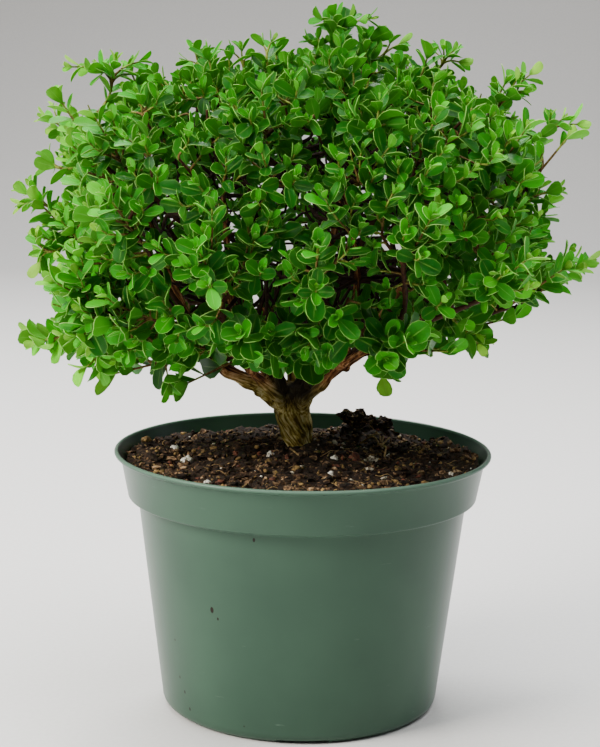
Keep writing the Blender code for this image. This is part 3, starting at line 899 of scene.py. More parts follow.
@dataclass
class Growth:
    """The tree's skeleton, grown by the same rule and seed as the CAD's."""

    seed: int = 7
    noise_seed: int = 1796068971
    # The limbs: where each ends, its radius at the foot, and the limb that it forks from
    hub: Vector = field(default_factory=lambda: Vector((-0.0066, 0.012, 0.1620)))
    hub_radius: float = 0.004
    limb_ends: tuple[tuple[Triple, float, int | None], ...] = (
        ((0.121, 0.004, 0.2296), 0.0046, None), ((-0.106, 0.002, 0.2150), 0.0050, None),
        ((0.062, -0.082, 0.228), 0.0034, None), ((-0.064, -0.080, 0.224), 0.0034, None),
        ((0.066, 0.088, 0.232), 0.0036, None), ((-0.066, 0.088, 0.234), 0.0036, None),
        ((0.030, 0.006, 0.316), 0.0040, None), ((0.088, 0.018, 0.292), 0.0028, 0),
        ((-0.092, 0.020, 0.292), 0.0030, 1), ((0.014, -0.062, 0.296), 0.0028, 2),
        ((-0.010, 0.076, 0.298), 0.0028, 5), ((-0.044, 0.004, 0.312), 0.0032, 3),
    )
    limb_bend: Pair = (0.40, 0.54)
    steep_limb: int = 0
    steep_bend: Pair = (0.25, 0.62)
    limb_end_radius: float = 0.0014
    limb_taper: float = 1.2
    limb_steps: int = 5
    limb_fork: int = 2
    fork_bend: Pair = (0.28, 0.8)
    limb_wander: float = 0.004
    inner_stems: tuple[tuple[Triple, Triple], ...] = (
        ((-0.0110, 0.0150, 0.1630), (-0.0230, 0.0230, 0.2140)),
        ((-0.0060, 0.0190, 0.1630), (-0.0050, 0.0340, 0.2160)),
        ((-0.0010, 0.0160, 0.1640), (0.0120, 0.0250, 0.2120)),
        ((-0.0100, 0.0070, 0.1640), (-0.0190, -0.0040, 0.2100)),
        ((-0.0020, 0.0070, 0.1640), (0.0100, -0.0060, 0.2080)),
    )
    inner_radii: Pair = (0.0042, 0.0014)
    # The crown: a rounded box, with the tips that its outline in the photograph shows
    crown_centre: Vector = field(default_factory=lambda: Vector((0.0, 0.001, 0.262)))
    heart: Vector = field(default_factory=lambda: Vector((0, 0.008, 0.205)))
    half_width: float = 0.146
    half_depth: float = 0.134
    rise: float = 0.098
    drop: float = 0.070
    power: float = 2.5
    outline_tips: tuple[Pair, ...] = (
        (-0.150, 0.279), (-0.134, 0.333), (-0.098, 0.349), (-0.054, 0.357), (-0.018, 0.361),
        (0.014, 0.375), (0.064, 0.360), (0.108, 0.346), (0.141, 0.318), (0.136, 0.282), (0.150, 0.246),
        (0.120, 0.218), (0.092, 0.194), (0.046, 0.184), (-0.072, 0.172), (-0.112, 0.178),
        (-0.150, 0.198), (-0.146, 0.238),
    )
    outline_depths: Pair = (-0.016, 0.024)
    spray_count: int = 56
    crown_lowest: float = -0.62
    tip_draws: int = 80
    # The sprays and the twigs that carry them
    spray_lift: float = 0.40
    lift_foot: float = 0.190
    lift_height: float = 0.060
    twig_steps: int = 2
    twig_neck: float = 0.003
    twig_bend: Pair = (0.35, 0.30)
    twig_wander: float = 0.002
    shortest_twig: float = 0.008
    spray_length: float = 0.034
    leaf_length: float = 0.0180
    end_leaf_share: float = 0.62
    face_gap: float = 0.0003
    green_apart: float = 0.0045
    wood_apart: float = 0.0040
    fork_choices: int = 3
    fork_turn_cost: float = 1.8
    trials: int = 60
    trial_shift: float = 0.0008
    trial_turn: float = 0.7
    limbs: list[list[Vector]] = field(default_factory=list)
    twigs: list[list[Vector]] = field(default_factory=list)
    sprays: list[Spray] = field(default_factory=list)

    def limb_paths(self) -> list[list[Vector]]:
        """Gives each limb's path from the trunk's head, or from the limb that it forks from.

        Returns:
            The paths, in the order of the limbs' ends.
        """
        paths: list[list[Vector]] = []
        for number, (place, _, parent) in enumerate(self.limb_ends):
            end = Vector(place)
            if parent is None:
                out, up = self.steep_bend if number == self.steep_limb else self.limb_bend
                outward = Vector((end.x - self.hub.x, end.y - self.hub.y, 0))
                start = self.hub + outward.normalized() * self.hub_radius
                bend = start + outward * out + Vector((0, 0, (end.z - start.z) * up))
            else:
                start = paths[parent][self.limb_fork]
                along = (start - paths[parent][self.limb_fork - 1]).normalized()
                reach, up = self.fork_bend
                bend = start + (along + Vector((0, 0, up))) * (end - start).length * reach
            paths.append(wandering(bezier((start, bend, end), self.limb_steps), self.limb_wander))
        return paths

    def limb_radii(self, base: float, count: int) -> list[float]:
        """Gives a limb's radius at each of its points.

        Args:
            base: The radius at its foot.
            count: How many points it has.

        Returns:
            The radii, from the foot up.
        """
        spread, steps = base - self.limb_end_radius, count - 1
        shares = ((1 - number / steps) ** self.limb_taper for number in range(count))
        return [self.limb_end_radius + spread * share for share in shares]

    def envelope_point(self, direction: Vector) -> Vector:
        """Gives where the crown's surface lies in a direction from its centre.

        Args:
            direction: A direction of length one.

        Returns:
            The point on the surface.
        """
        height = self.rise if direction.z > 0 else self.drop
        share = (
            abs(direction.x / self.half_width) ** self.power
            + abs(direction.y / self.half_depth) ** self.power
            + abs(direction.z / height) ** self.power
        )
        return self.crown_centre + direction * share ** (-1 / self.power)

    def spray_tips(self, draw: random.Random) -> list[Vector]:
        """Gives the outline's own tips, then more over the crown where there is most room.

        Args:
            draw: The seeded draw.

        Returns:
            The tips.
        """
        tips = [Vector((x, draw.uniform(*self.outline_depths), z)) for x, z in self.outline_tips]
        while len(tips) < self.spray_count:
            found = [
                self.envelope_point(drawn_direction(draw, self.crown_lowest))
                for _ in range(self.tip_draws)
            ]
            tips.append(max(found, key=lambda point: min((point - tip).length for tip in tips)))
        return tips

    def spray_heading(self, tip: Vector) -> Vector:
        """Gives a spray's direction: out from the crown's heart, and up the higher it stands.

        Args:
            tip: Where its last leaves end.

        Returns:
            The direction.
        """
        lift = share_of(tip.z, self.lift_foot, self.lift_height)
        outward = (tip - self.heart).normalized()
        return (outward + Vector((0, 0, self.spray_lift * lift))).normalized()

    def forks(self, base: Vector, heading: Vector) -> list[tuple[Vector, Vector]]:
        """Finds where on the limbs a twig may start.

        Args:
            base: Where the twig goes.
            heading: Which way it goes there.

        Returns:
            Points of the limbs and the limbs' directions there, best first.
        """
        found = []
        for path in self.limbs:
            for number in range(2, len(path)):
                along = (path[number] - path[number - 1]).normalized()
                reach = base - path[number]
                if reach.length < self.shortest_twig:
                    continue
                turn = 2 - along.dot(reach.normalized()) - heading.dot(reach.normalized())
                cost = reach.length * (1 + self.fork_turn_cost * turn)
                found.append((cost, number, path[number], along))
        return [(point, along) for _, _, point, along in sorted(found, key=lambda fork: fork[:2])]

    @staticmethod
    def dense(path: Sequence[Vector]) -> np.ndarray:
        """Gives the path as points about a millimetre apart.

        Args:
            path: The path's points.

        Returns:
            A row for each point.
        """
        rows: list[tuple[float, ...]] = []
        for first, second in zip(path, path[1:]):
            count = max(2, int((second - first).length / MM))
            rows.extend(tuple(first.lerp(second, step / count)) for step in range(count + 1))
        return np.array(rows)

    @staticmethod
    def nearness(points: np.ndarray, others: np.ndarray) -> float:
        """Gives the shortest distance from any of some points to any of some others.

        Args:
            points: A row for each point.
            others: A row for each of the others.

        Returns:
            The distance, or a metre if there are no others.
        """
        if not len(others):
            return 1.0
        return float(np.linalg.norm(points[:, None] - others[None], axis=2).min())

    def spray_at(self, tip: Vector, turn: float) -> Spray:
        """Gives the spray that ends in a tip, with its leaf plane turned by an angle.

        Args:
            tip: Where its last leaves end.
            turn: The angle.

        Returns:
            The spray.
        """
        heading = self.spray_heading(tip)
        foot = tip - heading * (self.spray_length + self.leaf_length * self.end_leaf_share)
        base = foot + heading * self.face_gap
        stem = (base, base + heading * self.spray_length)
        return Spray(foot, heading, across_at(heading, turn), stem)

    def twig_path(self, fork: Vector, along: Vector, spray: Spray) -> list[Vector]:
        """Gives a twig's path from a limb to a spray's foot.

        Args:
            fork: Where it leaves the limb.
            along: The limb's direction there.
            spray: The spray that it carries.

        Returns:
            The twig's points.
        """
        reach = (spray.foot - fork).length
        neck = spray.foot - spray.heading * self.twig_neck
        out, back = self.twig_bend
        bends = (fork, fork + along * reach * out, neck - spray.heading * reach * back, neck)
        return wandering(bezier(bends, self.twig_steps), self.twig_wander) + [spray.foot]

    def grow(self) -> None:
        """Works out every limb, twig and spray."""
        draw = random.Random(self.seed)
        # Without a seed of its own the vector noise follows the clock
        noise.seed_set(self.noise_seed)
        self.limbs = self.limb_paths()
        wood = np.concatenate([self.dense(path) for path in self.limbs])
        green = np.empty((0, 3))
        for number, tip in enumerate(self.spray_tips(draw)):
            for trial in range(self.trials):
                way = Vector((draw.uniform(-1, 1), draw.uniform(-1, 1), 0))
                turn = number * GOLDEN_ANGLE + trial * self.trial_turn
                spray = self.spray_at(tip + way * self.trial_shift * trial, turn)
                new_green = self.dense(spray.stem)
                if self.nearness(new_green, green) < self.green_apart:
                    continue
                if self.nearness(new_green, wood) < self.wood_apart:
                    continue
                choices = self.forks(spray.foot, spray.heading)
                twig = self.twig_path(*choices[trial % self.fork_choices], spray)
                new_wood = self.dense(twig)
                if self.nearness(new_wood, green) >= self.wood_apart:
                    self.twigs.append(twig)
                    self.sprays.append(spray)
                    green = np.concatenate([green, new_green])
                    wood = np.concatenate([wood, new_wood])
                    break


@dataclass
class Pot:
    """The round moulded pot, with its rolled lip, band, tapering body, foot ring and drain slots."""

    height: float = 0.1405
    lip_radius: float = 0.1016
    bead: float = 0.0012
    bead_seat: Pair = (0.0004, 0.0006)
    wall: float = 0.0014
    band_top: Pair = (0.0981, 0.1366)
    band_foot: Pair = (0.0943, 0.1158)
    body_top: Pair = (0.0886, 0.1140)
    body_foot_radius: float = 0.0753
    step_round: float = 0.0012
    step_lip: float = 0.0010
    step_heel: float = 0.0008
    corner: float = 0.006
    foot_inner_radius: float = 0.0600
    foot_slope: float = 0.003
    floor_lift: float = 0.0025
    sides: int = 216
    crease_degrees: float = 40
    drain_count: int = 6
    drain_width: float = 0.027
    drain_height: float = 0.0021
    drain_inner_radius: float = 0.0625
    drain_overrun: float = 0.004
    first_drain_degrees: float = -88.4
    finish: NurseryPotPlastic = field(default_factory=NurseryPotPlastic)

    @staticmethod
    def arc(centre: Pair, radius: float, first: float, last: float, steps: int) -> list[Pair]:
        """Gives points of an arc.

        Args:
            centre: Its centre's radius and height.
            radius: Its own radius.
            first: The angle that it starts at, in degrees.
            last: The angle that it ends at, in degrees.
            steps: How many steps it takes.

        Returns:
            Radius and height of each point.
        """
        angles = [math.radians(first + (last - first) * step / steps) for step in range(steps + 1)]
        return [
            (centre[0] + radius * math.cos(angle), centre[1] + radius * math.sin(angle))
            for angle in angles
        ]

    def profile(self) -> list[Pair]:
        """Gives radius and height from the floor's middle up inside, over the lip and down outside.

        Returns:
            The profile's points.
        """
        wall, edge = self.wall, self.step_round
        lip = (self.lip_radius - self.bead, self.height - self.bead)
        foot = self.body_foot_radius - self.corner
        band_x, band_z = self.band_foot
        body_x, body_z = self.body_top
        top_x, top_z = self.band_top
        slope = self.foot_inner_radius - self.foot_slope
        return [
            (0.0, self.floor_lift + wall),
            (slope, self.floor_lift + wall),
            (self.foot_inner_radius, wall),
            *self.arc((foot, self.corner), self.corner - wall, -90, -4, 8),
            (body_x - wall, body_z + wall),
            (band_x - wall - edge, band_z + wall - self.step_lip),
            (band_x - wall, band_z + wall),
            (top_x - wall, top_z),
            *self.arc(lip, self.bead, 180, -80, 14),
            (top_x + self.bead_seat[0], top_z + self.bead_seat[1]),
            self.band_top,
            *self.arc((band_x - edge, band_z + self.step_lip), edge, 5, -75, 5),
            *self.arc((body_x + edge, body_z - self.step_heel), edge, 100, 175, 4),
            *self.arc((foot, self.corner), self.corner, -4, -90, 10),
            (self.foot_inner_radius, 0.0),
            (slope, self.floor_lift),
            (0.0, self.floor_lift),
        ]

    def turned(self) -> Mesh:
        """Spins the profile into the pot's shell.

        Returns:
            The shell.
        """
        bm = bmesh.new()
        ring = [bm.verts.new((radius, 0.0, height)) for radius, height in self.profile()]
        geom = ring + [bm.edges.new(pair) for pair in zip(ring, ring[1:])]
        spin = {"cent": (0, 0, 0), "axis": (0, 0, 1), "angle": math.tau, "steps": self.sides}
        bmesh.ops.spin(bm, geom=geom, use_merge=True, **spin)
        bmesh.ops.remove_doubles(bm, verts=bm.verts, dist=1e-6)
        bmesh.ops.recalc_face_normals(bm, faces=bm.faces)
        return finished(bm, "pot_shell")

    def drain_cutters(self) -> Mesh:
        """Makes the six boxes that cut the drain slots through the foot.

        Returns:
            The boxes as one mesh.
        """
        depth = self.body_foot_radius + self.drain_overrun - self.drain_inner_radius
        size = Matrix.Diagonal((depth, self.drain_width, self.drain_height * 2, 1))
        out = Matrix.Translation((self.drain_inner_radius + depth / 2, 0, 0))
        bm = bmesh.new()
        for number in range(self.drain_count):
            angle = math.radians(self.first_drain_degrees) + number * math.tau / self.drain_count
            bmesh.ops.create_cube(bm, size=1.0, matrix=Matrix.Rotation(angle, 4, "Z") @ out @ size)
        return finished(bm, "drain_cutters")

    def build(self) -> Object:
        """Makes the pot and puts it in place of its CAD node.

        Returns:
            The pot.
        """
        shell = in_scene("pot_shell", self.turned())
        cutter = in_scene("drain_cutters", self.drain_cutters())
        modify(shell, "Drain slots", "BOOLEAN", operation="DIFFERENCE", object=cutter, solver="EXACT")
        mesh = applied(shell, cutter)
        mesh.shade_smooth()
        mesh.set_sharp_from_angle(angle=math.radians(self.crease_degrees))
        return place_piece("nursery_pot", mesh, [self.finish.make()], "pot")


class Grit(Enum):
    """What a larger grain in the potting mix is, in the order of the grit's material slots."""

    PERLITE = 0
    DIRTY_PERLITE = 1
    BARK = 2
    OCHRE = 3


@dataclass(frozen=True)
class Grain:
    """One larger grain: its place and half sizes in millimetres, and what it is."""

    x: float
    y: float
    long: float
    short: float
    kind: Grit = Grit.PERLITE


@dataclass
class PottingBed:
    """The potting mix: its crumbly bed, loose crumbs, clods, perlite, bark and dry rootlets."""

    draw: random.Random = field(default_factory=lambda: random.Random(11))
    # The bed: lower at the wall, swollen at the trunk and at the back right, hollow at the left
    radius: float = 0.0954
    edge_z: float = 0.1322
    side_rise: float = 0.0040
    trunk: Pair = (-0.0008, 0.012)
    mound: Pair = (0.0082, 0.034)
    lump_place: Pair = (0.034, 0.070)
    lump: Pair = (0.0100, 0.014)
    hollow_place: Pair = (-0.0215, 0.012)
    hollow: Pair = (-0.0055, 0.010)
    waves: Triple = (0.0030, 70, 3.7)
    ripples: tuple[Pair, ...] = ((0.0065, 0.0015), (0.0028, 0.0010))
    ripple_level: float = 900
    cell: float = 0.0013
    rim_gap: float = 0.0002
    skirt_drop: float = 0.012
    skirt_taper: float = 0.975
    bed_tone: float = 0.33
    # Grains: their lumps, how they lie, and their tones
    lump_spacing: Pair = (1.4, 2.6)
    tilt: float = 0.6
    lift_share: float = 0.35
    tones: Triple = (0.20, 0.60, 1.6)
    # Grains in and round the hollow left of the trunk are darkened: a painted shadow
    painted_shade_reach: float = 0.013
    painted_shade_share: float = 0.7
    wall_gap: float = 0.002
    trunk_gap: float = 0.009
    # Loose crumbs
    crumb_count: int = 3900
    crumb_sizes: Pair = (0.0004, 0.0019)
    crumb_long: Pair = (0.8, 2.0)
    crumb_high: Pair = (0.6, 1.1)
    # Clods heaped at the back right, each with crumbs stuck round it
    clods: tuple[Quad, ...] = (
        (0.0245, 0.070, 0.1450, 0.0032), (0.0325, 0.071, 0.1452, 0.0034),
        (0.0285, 0.068, 0.1432, 0.0040), (0.0385, 0.069, 0.1420, 0.0036),
        (0.0465, 0.070, 0.1405, 0.0038),
    )
    clod_flat: float = 0.8
    clod_relief: Pair = (0.0011, 0.0022)
    clod_tone: float = 0.40
    bit_count: int = 80
    bit_reach: Pair = (0.75, 1.05)
    bit_sizes: Pair = (0.0004, 0.0012)
    bit_tones: Pair = (0.20, 0.85)
    # Larger grains that the photograph shows, then small ones with their number and sizes
    grains: tuple[Grain, ...] = (
        Grain(-70.8, 22.6, 2.1, 2.1), Grain(-62.5, -2.8, 3.8, 3.4), Grain(-17.4, -7.9, 1.9, 1.9),
        Grain(-48.9, -54.6, 2.1, 1.6), Grain(16.9, -9.3, 2.3, 1.5), Grain(15.0, -30.5, 1.7, 1.9),
        Grain(47.3, 16.7, 1.2, 1.1), Grain(37.4, -56.4, 1.4, 1.2), Grain(77.8, -35.1, 1.4, 1.2),
        Grain(-21.4, -38.2, 0.8, 0.7), Grain(60.2, -4.0, 1.3, 1.0, Grit.DIRTY_PERLITE),
        Grain(37.7, 1.6, 4.8, 2.2, Grit.DIRTY_PERLITE),
        Grain(35.4, -21.9, 2.4, 1.3, Grit.DIRTY_PERLITE),
        Grain(42.6, -41.6, 2.6, 1.0, Grit.DIRTY_PERLITE),
        Grain(24.7, -42.0, 2.0, 0.8, Grit.DIRTY_PERLITE),
        Grain(17.0, 20.0, 2.2, 1.7, Grit.DIRTY_PERLITE),
        Grain(22.0, 24.0, 1.9, 1.5, Grit.DIRTY_PERLITE),
        Grain(20.5, 15.5, 1.5, 1.2, Grit.DIRTY_PERLITE),
        Grain(-32.7, -22.2, 1.6, 0.8, Grit.DIRTY_PERLITE), Grain(-60.1, 16.3, 1.4, 1.2, Grit.OCHRE),
        Grain(-3.1, -24.1, 2.4, 1.9, Grit.OCHRE), Grain(-0.5, -20.5, 1.5, 1.2, Grit.DIRTY_PERLITE),
        Grain(-5.6, -28.0, 1.4, 1.0, Grit.DIRTY_PERLITE), Grain(-18.0, -18.0, 2.6, 2.2, Grit.OCHRE),
        Grain(74.4, 64.1, 1.8, 1.4, Grit.OCHRE), Grain(-87.3, 29.3, 3.0, 2.0, Grit.OCHRE),
        Grain(28.0, -6.5, 2.9, 3.0, Grit.BARK), Grain(-42.1, -54.6, 2.4, 1.5, Grit.BARK),
        Grain(-36.6, 11.1, 3.0, 1.6, Grit.BARK), Grain(17.4, -21.6, 3.2, 1.2, Grit.BARK),
        Grain(-8.4, -13.5, 1.2, 2.0, Grit.BARK),
    )
    scattered: tuple[tuple[Grit, int, float, float], ...] = (
        (Grit.PERLITE, 16, 0.0003, 0.0006),
        (Grit.DIRTY_PERLITE, 26, 0.0004, 0.0009),
        (Grit.BARK, 46, 0.0006, 0.0015),
        (Grit.OCHRE, 320, 0.0005, 0.0014),
    )
    grain_flat: float = 0.85
    # A forked rootlet at the right, two straws, and finer rootlets everywhere
    fork: Pair = (0.0433, 0.030)
    fork_ends: tuple[Pair, ...] = (
        (0.0386, 0.0560), (0.0307, 0.0430), (0.0500, 0.0480), (0.0434, 0.0540), (0.0443, 0.0070),
    )
    fork_bow: float = 0.002
    fork_lift: float = 0.0046
    fork_radii: Pair = (0.0005, 0.0003)
    straws: tuple[tuple[Pair, Pair], ...] = (
        ((-0.0073, 0.0007), (-0.0020, -0.0113)),
        ((-0.0304, -0.0687), (-0.0270, -0.0440)),
    )
    straw_lift: float = 0.001
    fibre_count: int = 70
    fibre_lengths: Pair = (0.003, 0.011)
    fibre_turn: float = 0.5
    fibre_lifts: Pair = (0.0003, 0.0012)
    fibre_radii: Pair = (0.00012, 0.00024)
    fibre_rest: float = 0.0004

    def height(self, x: float, y: float) -> float:
        """Gives the height of the mix's top, with the crumbs' own relief.

        Args:
            x: A place across.
            y: Its place in depth.

        Returns:
            The height there.
        """
        rise = self.side_rise * min(1.0, abs(x) / self.radius) ** 3
        swells = (self.trunk, self.mound), (self.lump_place, self.lump), (self.hollow_place, self.hollow)
        for (cx, cy), (height, spread) in swells:
            rise += height * math.exp(-(((x - cx) ** 2 + (y - cy) ** 2) / spread**2))
        depth, fineness, level = self.waves
        rise += depth * noise.noise(Vector((x * fineness, y * fineness, level)))
        for size, depth in self.ripples:
            rise += depth * noise.noise(Vector((x / size, y / size, size * self.ripple_level)))
        return self.edge_z + rise

    def bed(self) -> Mesh:
        """Makes the bed: a fine grid cut round, raised to the mix's height, with a skirt.

        Returns:
            The bed.
        """
        cells = int(2 * self.radius / self.cell)
        bm = bmesh.new()
        bmesh.ops.create_grid(bm, x_segments=cells, y_segments=cells, size=self.radius)
        outside = [v for v in bm.verts if v.co.xy.length > self.radius - self.rim_gap]
        bmesh.ops.delete(bm, geom=outside, context="VERTS")
        for vertex in bm.verts:
            vertex.co.z = self.height(*vertex.co.xy)
        skirt = bmesh.ops.extrude_edge_only(bm, edges=[e for e in bm.edges if e.is_boundary])
        for item in skirt["geom"]:
            if isinstance(item, bmesh.types.BMVert):
                item.co.z = self.edge_z - self.skirt_drop
                item.co.xy *= self.skirt_taper
        bmesh.ops.recalc_face_normals(bm, faces=bm.faces)
        mesh = finished(bm, "bed")
        mesh.shade_smooth()
        set_life(mesh, self.bed_tone)
        return mesh

    def pebbles(self, count: int, subdivisions: int, lumpiness: float) -> list[Mesh]:
        """Makes irregular grains one metre in radius.

        Args:
            count: How many to make.
            subdivisions: How finely the ball that each starts from is divided.
            lumpiness: How far its surface departs from the ball.

        Returns:
            The grains' meshes.
        """
        made = []
        large, small = self.lump_spacing
        for _ in range(count):
            bm = bmesh.new()
            bmesh.ops.create_icosphere(bm, subdivisions=subdivisions, radius=1.0)
            offset = Vector((self.draw.uniform(0, 90), self.draw.uniform(0, 90), 0))
            for vertex in bm.verts:
                place = vertex.co * large + offset
                swell = noise.noise(place) + 0.5 * noise.noise(place * small) * (subdivisions > 1)
                vertex.co *= 1 + lumpiness * swell
            made.append(finished(bm, "grain"))
        return made

    def seated(self, shape: Mesh, x: float, y: float, sizes: Vector) -> Mesh:
        """Sets a copy of a grain on the bed, half sunk and turned at random.

        Args:
            shape: The grain.
            x: Its place across.
            y: Its place in depth.
            sizes: Its three half sizes.

        Returns:
            The grain in place.
        """
        about = Matrix.Rotation(self.draw.uniform(0, math.tau), 4, "Z")
        turn = about @ Matrix.Rotation(self.draw.uniform(-self.tilt, self.tilt), 4, "X")
        place = Matrix.Translation((x, y, self.height(x, y) + sizes.z * self.lift_share))
        grain_mesh = shape.copy()
        grain_mesh.transform(place @ turn @ Matrix.Diagonal((*sizes, 1)))
        # Painted shadow: grains in and round the hollow are darkened
        away = math.hypot(x - self.hollow_place[0], y - self.hollow_place[1])
        painted_shade = math.exp(-((away / self.painted_shade_reach) ** 2))
        darkest, spread, power = self.tones
        tone = (darkest + spread * self.draw.random() ** power) * (1 - self.painted_shade_share * painted_shade)
        set_life(grain_mesh, tone, self.draw.random())
        return grain_mesh

    def spot(self) -> Pair:
        """Draws an even place on the bed, clear of the trunk and of the wall.

        Returns:
            The place.
        """
        while True:
            out = math.sqrt(self.draw.random()) * (self.radius - self.wall_gap)
            around = self.draw.uniform(0, math.tau)
            x, y = out * math.cos(around), out * math.sin(around)
            if math.hypot(x - self.trunk[0], y - self.trunk[1]) > self.trunk_gap:
                return x, y

    def crumbs(self) -> Mesh:
        """Scatters loose crumbs over the bed, and heaps a few clods at the back right.

        Returns:
            The crumbs and clods.
        """
        shapes = self.pebbles(8, 1, 1.1)
        small, large = self.crumb_sizes
        made = []
        for _ in range(self.crumb_count):
            x, y = self.spot()
            size = small + (large - small) * self.draw.random() ** 3
            long = size * self.draw.uniform(*self.crumb_long)
            high = size * self.draw.uniform(*self.crumb_high)
            made.append(self.seated(self.draw.choice(shapes), x, y, Vector((long, size, high))))
        relief, fineness = self.clod_relief
        for x, y, z, size in self.clods:
            place = Matrix.Translation((x, y, z))
            clod = self.pebbles(1, 4, 0.75)[0]
            clod.transform(place @ Matrix.Diagonal((size, size, size * self.clod_flat, 1)))
            pushed(clod, lambda place: relief * noise.noise(place / fineness))
            set_life(clod, self.clod_tone)
            made.append(clod)
            for _ in range(self.bit_count):
                way = Vector([self.draw.gauss(0, 1) for _ in range(3)]).normalized()
                spot = place.translation + way * size * self.draw.uniform(*self.bit_reach)
                bit = self.draw.choice(shapes).copy()
                scale = Matrix.Scale(self.draw.uniform(*self.bit_sizes), 4)
                bit.transform(Matrix.Translation(spot) @ scale)
                set_life(bit, self.draw.uniform(*self.bit_tones))
                made.append(bit)
        return gathered(made)

    def grit(self) -> Mesh:
        """Sets the larger grains at their places, and small ones at random.

        Returns:
            The grains, each with its own material's slot.
        """
        shapes, small = self.pebbles(6, 3, 0.55), self.pebbles(8, 1, 1.0)
        chosen = [
            (self.draw.choice(shapes), g.x * MM, g.y * MM, g.long * MM, g.short * MM, g.kind)
            for g in self.grains
        ]
        for kind, count, least, most in self.scattered:
            for _ in range(count):
                size = self.draw.uniform(least, most)
                stretch = 1.0 if kind is Grit.PERLITE else self.draw.uniform(1.0, 2.0)
                chosen.append((self.draw.choice(small), *self.spot(), size * stretch, size, kind))
        made = []
        for shape, x, y, long, short, kind in chosen:
            sizes = Vector((long, short, short * self.grain_flat))
            made.append(slotted(self.seated(shape, x, y, sizes), kind.value))
        mesh = gathered(made)
        mesh.shade_smooth()
        return mesh

    def laid(self, points: Sequence[Pair], lift: float) -> list[Vector]:
        """Lays a flat path on the bed, its middle lifted a little.

        Args:
            points: The path's places on the bed.
            lift: How far the middle rises.

        Returns:
            The path's points.
        """
        last = len(points) - 1
        lifts = (lift * math.sin(math.pi * number / last) for number in range(last + 1))
        return [
            Vector((x, y, self.height(x, y) + self.fibre_rest + up))
            for (x, y), up in zip(points, lifts)
        ]

    def fibres(self) -> Mesh:
        """Lays dry rootlets and straw on the bed, one of them forked.

        Returns:
            The rootlets.
        """
        lines = []
        thick, thin = self.fork_radii
        for x, y in self.fork_ends:
            middle = (self.fork[0] * 0.5 + x * 0.5 + self.fork_bow, self.fork[1] * 0.5 + y * 0.5)
            path = smooth_path(self.laid((self.fork, middle, (x, y)), self.fork_lift), 4)
            lines.append((path, [thick] * (len(path) - 1) + [thin]))
        for ends in self.straws:
            path = smooth_path(self.laid(ends, self.straw_lift), 4)
            lines.append((path, [thick] * len(path)))
        for _ in range(self.fibre_count):
            x, y = self.spot()
            way, long = self.draw.uniform(0, math.tau), self.draw.uniform(*self.fibre_lengths)
            points = []
            for _ in range(4):
                points.append((x, y))
                x += math.cos(way) * long / 3
                y += math.sin(way) * long / 3
                way += self.draw.uniform(-self.fibre_turn, self.fibre_turn)
            if max(math.hypot(*point) for point in points) > self.radius - self.wall_gap / 2:
                continue
            path = smooth_path(self.laid(points, self.draw.uniform(*self.fibre_lifts)), 3)
            lines.append((path, [self.draw.uniform(*self.fibre_radii)] * len(path)))
        return tubes(lines, 1)

    def build(self) -> list[Object]:
        """Makes the potting mix and what lies in it.

        Returns:
            The pieces, the bed first.
        """
        mix = PottingMixFinish().make()
        grit = [
            PerliteFinish("expanded_perlite", ("#f0ece2", "#a3977f")).make(),
            PerliteFinish("soiled_perlite", ("#d4cab4", "#6a5a42")).make(),
            FibreFinish("composted_pine_bark", ("#351b0e", "#743c22")).make(),
            FibreFinish("dry_bark_fines", ("#4f3b1e", "#9a7a44")).make(),
        ]
        straw = FibreFinish("dry_rootlet", ("#785f38", "#b4945f")).make()
        return [
            place_piece("potting_mix", self.bed(), [mix], "soil"),
            place_piece("potting_mix_crumbs", self.crumbs(), [mix]),
            place_piece("potting_grit", self.grit(), grit),
            place_piece("dry_rootlets", self.fibres(), [straw]),
        ]


